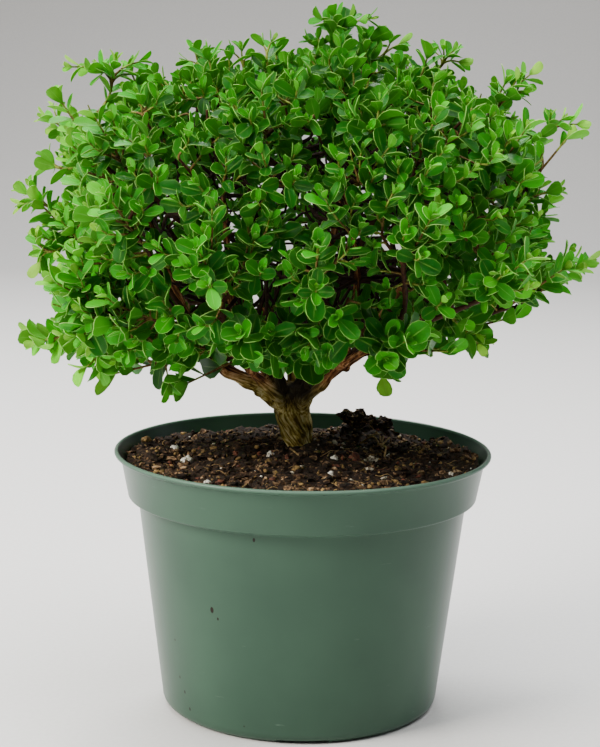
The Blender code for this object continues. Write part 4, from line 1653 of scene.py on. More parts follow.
@dataclass
class Wood:
    """The trunk with its fluted bark, the limbs, the pruned stubs and the twigs."""

    growth: Growth
    trunk_y: float = 0.012
    # The trunk's sections: height, place across and radius
    stations: tuple[Triple, ...] = (
        (0.1200, 0.0000, 0.0062), (0.1260, 0.0000, 0.0066), (0.1390, -0.0010, 0.0068),
        (0.1480, -0.0037, 0.0084), (0.1560, -0.0054, 0.0095), (0.1630, -0.0063, 0.0106),
        (0.1690, -0.0064, 0.0100), (0.1730, -0.0064, 0.0060),
    )
    stubs: tuple[tuple[Triple, Triple], ...] = (
        ((-0.0250, 0.010, 0.1760), (-0.0262, 0.006, 0.1680)),
        ((-0.0150, 0.010, 0.1700), (-0.0280, 0.011, 0.1900)),
        ((0.021, 0.011, 0.187), (0.0245, 0.009, 0.1815)),
    )
    stub_radius: float = 0.0024
    stub_taper: float = 0.85
    voxel: float = 0.00088
    smoothing: int = 5
    # The grain: radians a metre that it winds, its drawing out, and how limbs' grains blend
    twist: float = 40.0
    drawn_out: float = 0.10
    blend: float = 0.0010
    blend_reach: float = 0.02
    # The bark: flutes on the trunk, which ends over some height, and knots everywhere
    trunk_end: float = 0.190
    trunk_blend: float = 0.016
    flute_depth: float = 0.0012
    flute_width: float = 0.0058
    flute_sharpness: float = 2.4
    flute_mix: Triple = (0.8, 0.45, 3.1)
    limb_flutes: float = 0.2
    knot_size: float = 0.008
    knot_depth: float = 0.0006
    inset: float = 0.0003
    twig_radii: Pair = (0.0015, 0.0010)
    twig_knot: float = 1.2
    twig_life: Pair = (0.16, 0.5)

    def lines(self) -> list[Tube]:
        """Gives the overlapping tubes of trunk, limbs and stubs.

        Returns:
            Each tube's points and radii.
        """
        points = smooth_path([Vector((x, self.trunk_y, z)) for z, x, _ in self.stations], 4)
        sizes = smooth_path([Vector((0, 0, radius)) for _, _, radius in self.stations], 4)
        made: list[Tube] = [(points, [size.z for size in sizes])]
        for path, (_, base, _) in zip(self.growth.limbs, self.growth.limb_ends):
            rounded = smooth_path(path, 6)
            made.append((rounded, self.growth.limb_radii(base, len(rounded))))
        for start, end in self.growth.inner_stems:
            path = bezier((Vector(start), Vector(end)), 3)
            rounded = smooth_path(wandering(path, self.growth.limb_wander), 5)
            made.append((rounded, tapered(*self.growth.inner_radii, len(rounded) - 1)))
        radii = [self.stub_radius, self.stub_radius * self.stub_taper]
        return made + [([Vector(start), Vector(end)], radii) for start, end in self.stubs]

    def grain_places(self, mesh: Mesh) -> np.ndarray:
        """Gives each point's place in the grain, which winds slowly round trunk and limbs.

        Args:
            mesh: The skin round the tubes.

        Returns:
            A place for each point: across the grain as it lies, and along it drawn out.
        """
        places = np.array([vertex.co for vertex in mesh.vertices])
        total = np.zeros_like(places)
        shares = np.zeros((len(places), 1))
        for path, radii in self.lines():
            points = np.array(path)
            ways = np.gradient(points, axis=0)
            ways /= np.linalg.norm(ways, axis=1, keepdims=True)
            runs = np.append(0.0, np.cumsum(np.linalg.norm(np.diff(points, axis=0), axis=1)))
            gaps = np.linalg.norm(places[:, None] - points[None], axis=2)
            nearest = gaps.argmin(axis=1)
            out, way = places - points[nearest], ways[nearest]
            ahead = (out * way).sum(axis=1, keepdims=True)
            across = out - way * ahead
            run = runs[nearest][:, None] + ahead
            turn = self.twist * run
            wound = across * np.cos(turn) + np.cross(way, across) * np.sin(turn)
            beyond = gaps.min(axis=1) - np.array(radii)[nearest]
            share = np.exp(-np.clip(beyond, 0.0, self.blend_reach) / self.blend)[:, None]
            total += share * (wound + way * run * self.drawn_out)
            shares += share
        return total / shares

    def weather(self, place: Vector, wound: Vector) -> float:
        """Gives how far the bark stands out: long flutes on the trunk, small knots on the limbs.

        Args:
            place: Where a point lies.
            wound: Its place in the grain.

        Returns:
            The depth, in metres.
        """
        trunk = share_of(self.trunk_end - place.z, 0.0, self.trunk_blend)
        broad, narrow, finer = self.flute_mix
        flute = 1 - self.flute_sharpness * abs(noise.noise(wound / self.flute_width))
        fine = noise.noise(wound / self.flute_width * finer)
        depth = self.flute_depth * (flute * broad + fine * narrow)
        depth *= self.limb_flutes + (1 - self.limb_flutes) * trunk
        knots = noise.noise(place / self.knot_size) * (self.knot_depth + self.knot_depth * trunk)
        return depth + knots - self.inset

    def build(self) -> list[Object]:
        """Makes the wood and puts it in place of its CAD node.

        Returns:
            The trunk with its limbs, and the twigs.
        """
        rough = in_scene("rough_wood", tubes(self.lines(), 5))
        modify(rough, "One skin", "REMESH", mode="VOXEL", voxel_size=self.voxel)
        modify(rough, "Soft forks", "SMOOTH", factor=0.5, iterations=self.smoothing)
        mesh = applied(rough)
        wound = self.grain_places(mesh)
        kept = mesh.attributes.new("grain_place", "FLOAT_VECTOR", "POINT")
        kept.data.foreach_set("vector", wound.ravel().astype(np.float32))
        # The points are asked for in their own order
        turns = iter(wound)
        pushed(mesh, lambda place: self.weather(place, Vector(next(turns))))
        mesh.shade_smooth()
        bark = BoxwoodBark().make()
        return [
            place_piece("trunk_and_limbs", mesh, [bark], "trunk_and_branches"),
            place_piece("twigs", self.twigs(), [TwigFinish().make()]),
        ]

    def twigs(self) -> Mesh:
        """Makes the twigs, each a little knotted where old leaves sat.

        Returns:
            The twigs as one mesh.
        """
        lines = []
        for path in self.growth.twigs:
            rounded = smooth_path(path, 6)
            radii = tapered(*self.twig_radii, len(rounded) - 1)
            radii[::4] = [radius * self.twig_knot for radius in radii[::4]]
            lines.append((rounded, radii))
        return tubes(lines, 2, self.twig_life)


@dataclass
class LeafPattern:
    """One boxwood leaf: egg-shaped, widest past its middle, round at the tip and cupped at its rib."""

    length: float = 0.0138
    half_width: float = 0.0040
    thickness: float = 0.00022
    # Where each row of points is along the blade, and its share of the width
    rows: tuple[Pair, ...] = (
        (0.0, 0.12), (0.15, 0.46), (0.38, 0.86), (0.63, 1.0), (0.86, 0.82), (0.97, 0.42),
    )
    tip: float = 0.03
    crease_degrees: float = 62

    def make(self, slim: float, fold: float, arch: float, twist: float) -> Mesh:
        """Makes one leaf along +X with its upper face up.

        Args:
            slim: Its width beside the usual one.
            fold: How steeply its halves rise from the rib.
            arch: How far it bows, as a share of its length.
            twist: How far its tip is turned, in radians.

        Returns:
            The leaf's mesh, with slots for upper face, underside and margin.
        """
        bm = bmesh.new()
        bm.loops.layers.uv.new("blade")
        last = len(self.rows) - 1
        bmesh.ops.create_grid(bm, x_segments=last, y_segments=2, size=0.5, calc_uvs=True)
        for vertex in bm.verts:
            side = vertex.co.y * 2
            row = round((vertex.co.x + 0.5) * last)
            along, width = self.rows[row]
            if row == last and abs(side) < 0.5:
                along += self.tip
            half = side * width * self.half_width * slim
            rise = fold * abs(half)
            bow = arch * self.length * (1 - (2 * along - 1) ** 2)
            sine, cosine = math.sin(twist * along), math.cos(twist * along)
            upright = half * sine + rise * cosine + bow
            vertex.co = (along * self.length, half * cosine - rise * sine, upright)
        sheet = in_scene("leaf", finished(bm, "leaf"))
        for _ in LeafSide:
            sheet.data.materials.append(None)
        modify(
            sheet,
            "Thickness",
            "SOLIDIFY",
            thickness=self.thickness,
            offset=-1.0,
            material_offset=LeafSide.UNDER.value,
            material_offset_rim=LeafSide.MARGIN.value,
        )
        leaf = applied(sheet)
        leaf.shade_smooth()
        leaf.set_sharp_from_angle(angle=math.radians(self.crease_degrees))
        return leaf


@dataclass
class Shoot:
    """A shoot: its path, the plane of its last pair, its pairs of leaves and its thickness."""

    owner: int
    path: list[Vector]
    across: Vector
    pairs: list[Quad]
    radii: Pair = (0.0008, 0.0005)
    kept: bool = False


@dataclass(frozen=True)
class Leader:
    """A spray that stands out of the crown: its fork and tips from the front, in millimetres."""

    fork: Pair
    tips: tuple[Pair, ...]
    depth: float = 0.0


@dataclass(frozen=True)
class Generation:
    """One generation of new shoots: how many, how far apart, how deep in the crown, how long."""

    count: int
    apart: float
    depths: Pair
    reaches: Pair
    radii: Pair
    leafy: bool


@dataclass
class Spacing:
    """Keeps points apart, with the points sorted into cells."""

    apart: float
    cells: dict[tuple[int, int, int], list[Vector]] = field(default_factory=dict)

    def cell(self, point: Vector) -> tuple[int, int, int]:
        """Gives the cell that a point is in."""
        x, y, z = (int(c // self.apart) for c in point)
        return x, y, z

    def free(self, point: Vector) -> bool:
        """Says whether no other point is too near.

        Args:
            point: Where a new point would be.

        Returns:
            Whether there is room for it.
        """
        x, y, z = self.cell(point)
        return not any(
            (point - other).length < self.apart
            for i in (x - 1, x, x + 1)
            for j in (y - 1, y, y + 1)
            for k in (z - 1, z, z + 1)
            for other in self.cells.get((i, j, k), ())
        )

    def take(self, point: Vector) -> None:
        """Adds a point."""
        self.cells.setdefault(self.cell(point), []).append(point)


@dataclass
class Foliage:
    """Every leafy spray, finer than its CAD node, with the shoots that fill the crown between them."""

    growth: Growth
    draw: random.Random = field(default_factory=lambda: random.Random(23))
    generations: tuple[Generation, ...] = (
        Generation(260, 0.011, (0.15, 0.55), (0.012, 0.070), (0.0015, 0.0008), False),
        Generation(190, 0.015, (0.50, 0.76), (0.010, 0.060), (0.0011, 0.0007), False),
        Generation(880, 0.0098, (0.70, 0.91), (0.008, 0.040), (0.0007, 0.0004), True),
        Generation(310, 0.0100, (0.44, 0.72), (0.008, 0.040), (0.0007, 0.0004), True),
    )
    leaders: tuple[Leader, ...] = (
        Leader((-103, 332), ((-131, 345), (-113, 349), (-100, 353), (-83, 350), (-87, 343))),
        Leader((-126, 309), ((-144, 319), (-137, 325), (-139, 312)), 8),
        Leader((-129, 289), ((-141, 299), (-143, 290), (-136, 286)), -10),
        Leader((-135, 268), ((-157, 281), (-151, 284), (-157, 271), (-145, 277)), 6),
        Leader((-135, 245), ((-149, 258), (-148, 246), (-146, 234)), -14),
        Leader((-131, 199), ((-154, 201), (-151, 194), (-140, 190))),
        Leader((-112, 190), ((-122, 177), (-106, 174)), -20),
        Leader((-75, 188), ((-71, 167),), -36),
        Leader((-57, 342), ((-69, 350), (-61, 357), (-51, 357)), 4),
        Leader((-34, 343), ((-43, 356), (-36, 359), (-31, 355)), 2),
        Leader((-22, 349), ((-26, 361), (-17, 363)), -6),
        Leader((6, 350), ((-4, 363), (4, 366), (11, 363)), 0),
        Leader((15, 358), ((2, 374), (11, 377), (24, 375), (37, 373)), 2),
        Leader((27, 349), ((30, 365), (38, 368), (36, 360)), -2),
        Leader((38, 350), ((46, 363), (53, 360)), 5),
        Leader((69, 345), ((63, 359), (71, 361), (80, 359), (86, 349)), -4),
        Leader((99, 324), ((98, 341), (113, 345), (121, 347), (119, 337)), 6),
        Leader((123, 311), ((130, 326), (139, 323), (149, 318)), -6),
        Leader((117, 276), ((128, 288), (138, 284)), -12),
        Leader((127, 240), ((146, 253), (157, 246), (148, 238)), -6),
        Leader((80, 209), ((99, 201), (99, 194)), -24),
        Leader((39, 196), ((38, 182), (44, 172), (51, 182)), -40),
    )
    power: float = 2.4
    eye: Vector = field(default_factory=lambda: Vector(CAMERA_PLACE))
    # Where the crown is open from the front: under its edge, in gaps at its sides, and at the limbs
    lower_edge_mm: tuple[Pair, ...] = (
        (-160, 198), (-150, 196), (-127, 190), (-122, 178), (-111, 170), (-104, 177), (-92, 183),
        (-80, 181), (-77, 158), (-67, 158), (-64, 186), (-50, 187), (-35, 184), (-23, 180), (-10, 176),
        (4, 174), (10, 178), (20, 190), (33, 199), (37, 170), (51, 170), (54, 194), (62, 198),
        (92, 198), (96, 190), (101, 192), (104, 215), (119, 219), (130, 224), (142, 229), (150, 234),
        (160, 240),
    )
    edge_gap_mm: float = 2.5
    droop_slack: float = 0.007
    clearings: tuple[Quad, ...] = (
        (0.144, 0.298, 0.021, 0.011),
        (-0.117, 0.325, 0.008, 0.007),
        (-0.143, 0.211, 0.009, 0.008),
        (0.138, 0.256, 0.006, 0.004),
        (0.092, 0.331, 0.005, 0.005),
    )
    window: Quad = (-0.016, 0.230, 0.056, 0.027)
    window_share: float = 0.58
    # Each spray's own stem has these pairs of leaves: place, opening, size and turn
    stem_pairs: tuple[Quad, ...] = (
        (0.10, 66, 1.10, 0), (0.39, 63, 1.10, 90), (0.69, 57, 1.06, 0), (0.98, 38, 0.98, 90),
        (0.25, 64, 1.04, 45), (0.54, 60, 1.02, 135), (0.84, 50, 0.96, 45), (1.0, 30, 0.66, 0),
        (1.0, 15, 0.42, 90),
    )
    stem_radii: Pair = (0.0008, 0.0005)
    # Tufts round each stem
    tuft_shoots: int = 4
    tuft_start: float = 0.35
    tuft_jitter: float = 0.2
    tuft_spread: Pair = (24, 46)
    tuft_length: Pair = (0.015, 0.026)
    tuft_bend: Pair = (0.4, 0.3)
    tuft_radii: Pair = (0.0006, 0.0004)
    # Leaders: how they bend, and how far behind the fork their stem's pairs stand
    leader_jitter: float = 7
    leader_pulls: Pair = (0.3, 0.35)
    leader_wander: float = 0.0015
    leader_backs: Quad = (0.003, 0.008, 0.014, 0.020)
    leader_least: float = 0.022
    leader_openings: Pair = (52, 70)
    leader_sizes: Pair = (0.9, 1.1)
    leader_radii: Pair = (0.0011, 0.0007)
    leader_tip: float = 0.007
    leader_tip_radii: Pair = (0.0007, 0.0004)
    # A shoot's pairs from its tip down: distance, opening and size
    rosette: tuple[Triple, ...] = (
        (0.0, 15, 0.40), (0.0011, 34, 0.70), (0.0052, 50, 0.92),
        (0.0102, 58, 1.04), (0.0158, 63, 1.04), (0.0222, 68, 0.96),
    )
    bare_foot: float = 0.004
    pair_opening: float = 6
    pair_sizes: Pair = (0.82, 1.10)
    pair_turn: float = 9
    # New shoots: how often to try, where they end, what they grow from and how they bend
    tries: int = 30
    lowest: float = -0.85
    depth_power: float = 1.6
    leaf_room: float = 0.009
    root_choices: int = 10
    root_turn_cost: float = 2.4
    limb_bare_steps: int = 8
    shoot_pulls: Pair = (0.25, 0.40)
    shoot_wander: float = 0.0012
    shoot_outward: float = 0.95
    shoot_lift: Triple = (0.192, 0.050, 0.70)
    shoot_jitter: float = 0.24
    # Leaves: how they vary, and how broad they grow in the shade
    leaf_apart: float = 0.0034
    fewest_leaves: int = 3
    bare_heart: tuple[Pair, Pair] = ((0.235, 0.285), (0.60, 0.40))
    leaf_middle: float = 0.0085
    opening_jitter: float = 8
    leaf_sizes: Pair = (0.84, 1.16)
    shade_heights: Pair = (0.195, 0.250)
    shade_sizes: Pair = (1.04, 0.17)
    shade_widths: Pair = (1.20, 0.24)
    size_widths: Pair = (0.40, 0.75)
    leaf_roll: float = 0.24
    # A leaf's age: younger further out, near the tip and when small; darker deeper in, partly as older
    # leaves and partly as painted shade; and painted darker in the crown's middle and lighter towards its
    # two ends, as painted shade and light
    old_and_shaded_depth: float = 0.72
    depth_age_and_shade: float = 1.5
    tip_youth: float = 0.5
    full_size: float = 0.9
    size_youth: float = 0.8
    own_youth: float = 0.8
    age_spread: float = 0.12
    # Painted light and shade: the crown's middle is painted darker and its ends lighter, the left end
    # more than the right
    painted_end_light: float = 0.28
    painted_light_shift: float = 0.006
    painted_light_reach: float = 0.086
    painted_light_caps: Pair = (1.8, 1.15)
    # Stems: nearly black deep inside the crown as painted shade, brown at the foot, then tan, and green
    # near the tip
    painted_shade_depth: float = 0.66
    painted_shade_age: float = 0.04
    wood_age: float = 0.3
    tan_length: float = 0.024
    tan_age: float = 0.55
    green_length: float = 0.008
    green_age: float = 0.9
    # Leaves that show have six rows of points, and those deep inside have four
    fine_from: float = 0.82
    pattern_count: int = 14
    inner_rows: tuple[Pair, ...] = ((0.0, 0.12), (0.28, 0.74), (0.66, 1.0), (0.94, 0.52))
    inner_tip: float = 0.06
    patterns: list[Mesh] = field(default_factory=list)
    inner_patterns: list[Mesh] = field(default_factory=list)

    def outline_radius(self, angle: float) -> float:
        """Gives how far the crown reaches from its centre at an angle, seen from the front.

        Args:
            angle: The angle, in radians from +X up.

        Returns:
            The reach there.
        """
        centre = self.growth.crown_centre
        reach = sorted(
            (math.atan2(z - centre.z, x - centre.x), math.hypot(x - centre.x, z - centre.z))
            for x, z in self.growth.outline_tips
        )
        angles = [a for a, _ in reach]
        radii = [r for _, r in reach]
        return float(np.interp(angle, angles, radii, period=math.tau))

    def surface(self, direction: Vector) -> Vector:
        """Gives the point of the crown's skin in a direction from its centre.

        Args:
            direction: A direction of length one.

        Returns:
            The point on the skin.
        """
        flat = math.hypot(direction.x, direction.z)
        radius = self.outline_radius(math.atan2(direction.z, direction.x))
        depth = self.growth.half_depth
        share = (flat / radius) ** self.power + (abs(direction.y) / depth) ** self.power
        return self.growth.crown_centre + direction * share ** (-1 / self.power)

    def depth_share(self, point: Vector) -> float:
        """Gives how far out a point lies: nought at the crown's centre, one at its skin."""
        out = point - self.growth.crown_centre
        return out.length / (self.surface(out.normalized()) - self.growth.crown_centre).length

    def sunlit(self, point: Vector) -> float:
        """Gives nought where leaves grow broad in the shade, and one where they stay small."""
        low, high = self.shade_heights
        return share_of(point.z, low, high - low)

    def shown_at(self, point: Vector) -> Vector:
        """Gives where the camera sees a point, on the upright plane through the trunk."""
        share = (self.growth.hub.y - self.eye.y) / (point.y - self.eye.y)
        return self.eye + (point - self.eye) * share

    def shows_in(self, point: Vector, oval: Quad) -> bool:
        """Says whether the camera sees a point inside an oval.

        Args:
            point: The point.
            oval: The oval's centre and half sizes, on the upright plane through the trunk.

        Returns:
            Whether it shows there.
        """
        x, z, half_width, half_height = oval
        shown = self.shown_at(point)
        return ((shown.x - x) / half_width) ** 2 + ((shown.z - z) / half_height) ** 2 < 1

    def in_window(self, point: Vector) -> bool:
        """Says whether a leaf there would hide the limbs where they show from the front."""
        return point.y < self.growth.hub.y and self.shows_in(point, self.window)

    def in_clearing(self, point: Vector) -> bool:
        """Says whether a leaf there would show where the crown's edge is open from the front."""
        return any(self.shows_in(point, oval) for oval in self.clearings)

    def too_low(self, point: Vector, slack: float = 0.0) -> bool:
        """Says whether a leaf there would show below the crown's lower edge from the front.

        Args:
            point: The leaf's place.
            slack: How far below the edge it may show.

        Returns:
            Whether it would.
        """
        shown = self.shown_at(point)
        edge_mm = float(np.interp(shown.x / MM, *zip(*self.lower_edge_mm)))
        return shown.z < (edge_mm + self.edge_gap_mm) * MM - slack

    def anchors(self) -> list[Anchor]:
        """Finds the points that shoots may grow from.

        Returns:
            Each point's place, the wood's direction there, and the spray that it belongs to.
        """
        found = []
        for owner, (twig, spray) in enumerate(zip(self.growth.twigs, self.growth.sprays)):
            line = [*twig[1:], spray.stem[0].lerp(spray.stem[1], self.tuft_start)]
            found += self.along(smooth_path(line, 4), owner)
        feet = sorted_points([spray.foot for spray in self.growth.sprays])
        for limb in self.growth.limbs:
            for point, way, _ in self.along(smooth_path(limb, 4)[self.limb_bare_steps :], 0):
                found.append((point, way, feet.find(point)[1]))
        return found

    @staticmethod
    def along(path: Sequence[Vector], owner: int) -> list[Anchor]:
        """Gives a path's points after the first as anchors."""
        return [(end, (end - start).normalized(), owner) for start, end in zip(path, path[1:])]

    def spray_shoots(self) -> list[Shoot]:
        """Gives the CAD's own stems, with its four pairs of leaves and more between them.

        Returns:
            A shoot for each spray.
        """
        made = []
        for owner, spray in enumerate(self.growth.sprays):
            path = bezier(spray.stem, 4)
            pairs = list(self.stem_pairs)
            made.append(Shoot(owner, path, spray.across, pairs, self.stem_radii, True))
        return made

    def tufts(self) -> list[Shoot]:
        """Grows a few shorter shoots round each spray's stem, so that it ends in a tuft.

        Returns:
            The shoots.
        """
        made = []
        for owner, spray in enumerate(self.growth.sprays):
            for number in range(self.tuft_shoots):
                start = spray.stem[0].lerp(spray.stem[1], self.draw.uniform(0.0, self.tuft_start))
                side = spray.across.copy()
                place = number + self.draw.uniform(-self.tuft_jitter, self.tuft_jitter)
                side.rotate(Matrix.Rotation(math.tau * place / self.tuft_shoots, 3, spray.heading))
                spread = math.radians(self.draw.uniform(*self.tuft_spread))
                way = spray.heading * math.cos(spread) + side * math.sin(spread)
                length = self.draw.uniform(*self.tuft_length)
                end = start + way * length
                out, back = self.tuft_bend
                bends = (start, start.lerp(end, out), end - spray.heading * length * back, end)
                pairs = self.leaf_pairs(length)
                made.append(Shoot(owner, bezier(bends, 4), side, pairs, self.tuft_radii))
        return made

    def seen_at(self, place: Pair, depth: float) -> Vector:
        """Gives the point at a depth that the camera sees at a place of the plane y = 0."""
        flat = Vector((place[0] * MM, 0.0, place[1] * MM))
        return self.eye + (flat - self.eye) * ((depth * MM - self.eye.y) / -self.eye.y)

    def root(self, end: Vector, heading: Vector, choices: Iterable[Anchor]) -> Anchor:
        """Gives the anchor that a shoot reaches its end from with the least length and turn.

        Args:
            end: Where the shoot ends.
            heading: Which way it comes in.
            choices: The anchors to choose from.

        Returns:
            The best anchor.
        """

        def cost(anchor: Anchor) -> float:
            """Gives the length to an anchor, and more the more the shoot would turn."""
            reach = end - anchor[0]
            return reach.length * (self.root_turn_cost - heading.dot(reach.normalized()))

        return min(choices, key=cost)

    def leader_shoots(self, anchors: list[Anchor]) -> list[Shoot]:
        """Grows each leader: a woody stem to its fork, then a leafy shoot to each of its tips.

        Args:
            anchors: What they may grow from.

        Returns:
            The stems and shoots.
        """
        made = []
        for leader in self.leaders:
            fork = self.seen_at(leader.fork, leader.depth)
            depths = [self.draw.uniform(-self.leader_jitter, self.leader_jitter) for _ in leader.tips]
            ends = [self.seen_at(tip, leader.depth + d) for tip, d in zip(leader.tips, depths)]
            mean = sum((end - fork for end in ends), Vector()).normalized()
            anchor, way, owner = self.root(fork, mean, anchors)
            stem = wandering(swept(anchor, way, fork, mean, self.leader_pulls, 6), self.leader_wander)
            reach = max((fork - anchor).length, self.leader_least)
            pairs = []
            for pair, back in enumerate(self.leader_backs):
                opening = self.draw.uniform(*self.leader_openings)
                size = self.draw.uniform(*self.leader_sizes)
                pairs.append((1 - back / reach, opening, size, 90 * pair))
            across = mean.orthogonal().normalized()
            made.append(Shoot(owner, stem, across, pairs, self.leader_radii, True))
            for end in ends:
                out = (end - fork).normalized()
                last = end - out * self.leader_tip
                length = (last - fork).length
                path = bezier((fork, fork + mean * length * 0.5, last), 5)
                across = across_at(out, self.draw.uniform(0, math.tau))
                pairs = self.leaf_pairs(length)
                made.append(Shoot(owner, path, across, pairs, self.leader_tip_radii, True))
        return made

    def shoot_heading(self, tip: Vector) -> Vector:
        """Gives a new shoot's direction: outward, and up to the light but for the lowest.

        Args:
            tip: Where the shoot's last leaves end.

        Returns:
            The direction.
        """
        foot, height, pull = self.shoot_lift
        outward = (tip - self.growth.heart).normalized()
        up = Vector((0, 0, pull * share_of(tip.z, foot, height)))
        jitter = Vector([self.draw.gauss(0, self.shoot_jitter) for _ in range(3)])
        return (outward * self.shoot_outward + up + jitter).normalized()

    def leaf_pairs(self, length: float) -> list[Quad]:
        """Gives the pairs of a shoot: a small rosette at the tip, then pairs further apart.

        Args:
            length: The shoot's length.

        Returns:
            Each pair's place, opening, size and turn.
        """
        pairs = []
        for pair, (back, opening, size) in enumerate(self.rosette):
            if back > length - self.bare_foot:
                break
            opening += self.draw.uniform(-self.pair_opening, self.pair_opening)
            size *= self.draw.uniform(*self.pair_sizes)
            turn = 90 * pair + self.draw.uniform(-self.pair_turn, self.pair_turn)
            pairs.append((1 - back / length, opening, size, turn))
        return pairs

    def new_shoots(self, rule: Generation, anchors: list[Anchor]) -> list[Shoot]:
        """Grows one generation of shoots into what room is left in the crown.

        Args:
            rule: The generation's rule.
            anchors: What they may grow from, to which their own points are added.

        Returns:
            The new shoots.
        """
        tree = sorted_points([point for point, _, _ in anchors])
        tips = Spacing(rule.apart)
        for spray in self.growth.sprays:
            tips.take(spray.stem[1])
        made: list[Shoot] = []
        for _ in range(self.tries * rule.count):
            if len(made) >= rule.count:
                break
            direction = drawn_direction(self.draw, self.lowest)
            least, most = rule.depths
            depth = most - (most - least) * self.draw.random() ** self.depth_power
            tip = self.growth.crown_centre.lerp(self.surface(direction), depth)
            if self.too_low(tip) or self.in_clearing(tip) or not tips.free(tip):
                continue
            if rule.leafy and self.in_window(tip) and self.draw.random() < self.window_share:
                continue
            heading = self.shoot_heading(tip)
            end = tip - heading * (self.leaf_room if rule.leafy else 0.0)
            near = [anchors[number] for _, number, _ in tree.find_n(end, self.root_choices)]
            anchor, way, owner = self.root(end, heading, near)
            if not rule.reaches[0] < (end - anchor).length < rule.reaches[1]:
                continue
            path = wandering(swept(anchor, way, end, heading, self.shoot_pulls, 5), self.shoot_wander)
            if any(self.too_low(point) for point in path[2:]):
                continue
            tips.take(tip)
            across = across_at(heading, self.draw.uniform(0, math.tau))
            pairs = self.leaf_pairs(path_length(path)) if rule.leafy else []
            made.append(Shoot(owner, path, across, pairs, rule.radii, not rule.leafy))
        for shoot in made:
            anchors += self.along(shoot.path[2:], shoot.owner)
        return made

    @staticmethod
    def leaf_matrix(
        point: Vector, heading: Vector, across: Vector, opening: float, size: float
    ) -> Matrix:
        """Gives the matrix that sets a leaf on a stem.

        Args:
            point: Where it stands.
            heading: Which way the stem runs.
            across: Which side of the stem it is on.
            opening: Its angle from the stem, in radians.
            size: Its size beside the pattern's.

        Returns:
            The matrix.
        """
        along = heading * math.cos(opening) + across * math.sin(opening)
        upper = heading * math.sin(opening) - across * math.cos(opening)
        turn = Matrix((along, upper.cross(along), upper)).transposed().to_4x4()
        return Matrix.Translation(point) @ turn @ Matrix.Scale(size, 4)

    @staticmethod
    def along_path(path: Sequence[Vector], share: float) -> tuple[Vector, Vector]:
        """Gives the point and direction at a share of a path's length.

        Args:
            path: The path's points.
            share: How far along it, from nought to one.

        Returns:
            The point, and the path's direction there.
        """
        lengths = [(b - a).length for a, b in zip(path, path[1:])]
        left = share * sum(lengths)
        for (start, end), length in zip(zip(path, path[1:]), lengths):
            if left <= length + 1e-9:
                return start.lerp(end, left / length), (end - start).normalized()
            left -= length
        return path[-1], (path[-1] - path[-2]).normalized()

    def leaves_of(self, shoot: Shoot, taken: Spacing) -> list[Mesh]:
        """Makes a shoot's leaves, apart from those with no room and those that hang too low.

        Args:
            shoot: The shoot.
            taken: The middles of the leaves made so far, to which the new ones are added.

        Returns:
            The leaves in place, or none if there is room for too few.
        """
        found = []
        usual, shrinking = self.shade_sizes
        slack = self.droop_slack if shoot.kept else 0.0
        for share, opening, size, turn in shoot.pairs:
            point, heading = self.along_path(shoot.path, share)
            plane = (shoot.across - heading * shoot.across.dot(heading)).normalized()
            plane.rotate(Matrix.Rotation(math.radians(turn), 3, heading))
            for hand in (1, -1):
                jitter = self.draw.uniform(-self.opening_jitter, self.opening_jitter)
                angle = math.radians(opening + jitter)
                shade = usual - shrinking * self.sunlit(point)
                grown = size * self.draw.uniform(*self.leaf_sizes) * shade
                matrix = self.leaf_matrix(point, heading, plane * hand, angle, grown)
                centre = matrix @ Vector((self.leaf_middle, 0, 0))
                if self.too_low(centre, slack) or self.in_clearing(centre) or not taken.free(centre):
                    continue
                if self.depth_share(centre) < np.interp(centre.z, *self.bare_heart):
                    continue
                young = (share - 0.5) * self.tip_youth + (self.full_size - size) * self.size_youth
                found.append((matrix, centre, young))
        if len(found) < self.fewest_leaves and not shoot.kept:
            return []
        return [self.leaf(matrix, centre, young, taken) for matrix, centre, young in found]

    def leaf(self, matrix: Matrix, centre: Vector, young: float, taken: Spacing) -> Mesh:
        """Makes one leaf.

        Args:
            matrix: What sets it on its stem.
            centre: Its middle.
            young: How young its place on the shoot makes it.
            taken: The middles of the leaves made so far, to which its own is added.

        Returns:
            The leaf in place.
        """
        taken.take(centre)
        depth = self.depth_share(centre)
        # Deeper leaves are darker: partly their own older green, partly painted shade
        age = (depth - self.old_and_shaded_depth) * self.depth_age_and_shade + young * self.own_youth
        age += self.draw.gauss(0, self.age_spread)
        # Painted light and shade: darker in the crown's middle, lighter towards its ends, most at the
        # left
        outward = ((centre.x + self.painted_light_shift) / self.painted_light_reach) ** 2
        age += self.painted_end_light * (min(outward, self.painted_light_caps[centre.x > 0]) - 1)
        narrowest, widening = self.size_widths
        usual, narrowing = self.shade_widths
        slim = min(1.0, narrowest + widening * matrix.median_scale)
        slim *= usual - narrowing * self.sunlit(centre)
        made = self.draw.choice(self.inner_patterns if depth < self.fine_from else self.patterns).copy()
        roll = Matrix.Rotation(self.draw.gauss(0, self.leaf_roll), 4, "X")
        made.transform(matrix @ roll @ Matrix.Diagonal((1, slim, 1, 1)))
        set_life(made, self.draw.random(), max(0.0, min(1.0, age)))
        return made

    @staticmethod
    def finishes() -> list[Material]:
        """Makes the materials of leaf and stem.

        Returns:
            The materials, in slot order.
        """
        upper = ((0.0, "#0f5807"), (0.35, "#2a9a0e"), (0.7, "#56c81a"), (1.0, "#a0e030"))
        under = ((0.0, "#2c7818"), (0.5, "#58b02a"), (1.0, "#a8e048"))
        margin = ((0.0, "#78ba40"), (1.0, "#c8ec8a"))
        leaf = [
            # The wax makes the upper face glossy and deep green
            BoxwoodLeafFinish(LeafSide.UPPER, upper, "#a0dc58", 0.33, "#8cd820", 0.30),
            # The underside has less wax, so it is duller and paler
            BoxwoodLeafFinish(LeafSide.UNDER, under, "#a8d868", 0.55, "#8cd820", 0.30),
            # The cut of the blade shows as a thin yellow-green line
            BoxwoodLeafFinish(LeafSide.MARGIN, margin, "#c8ec8a", 0.5, "#a4dc4a", 0.2),
        ]
        return [finish.make() for finish in (*leaf, TwigFinish())]

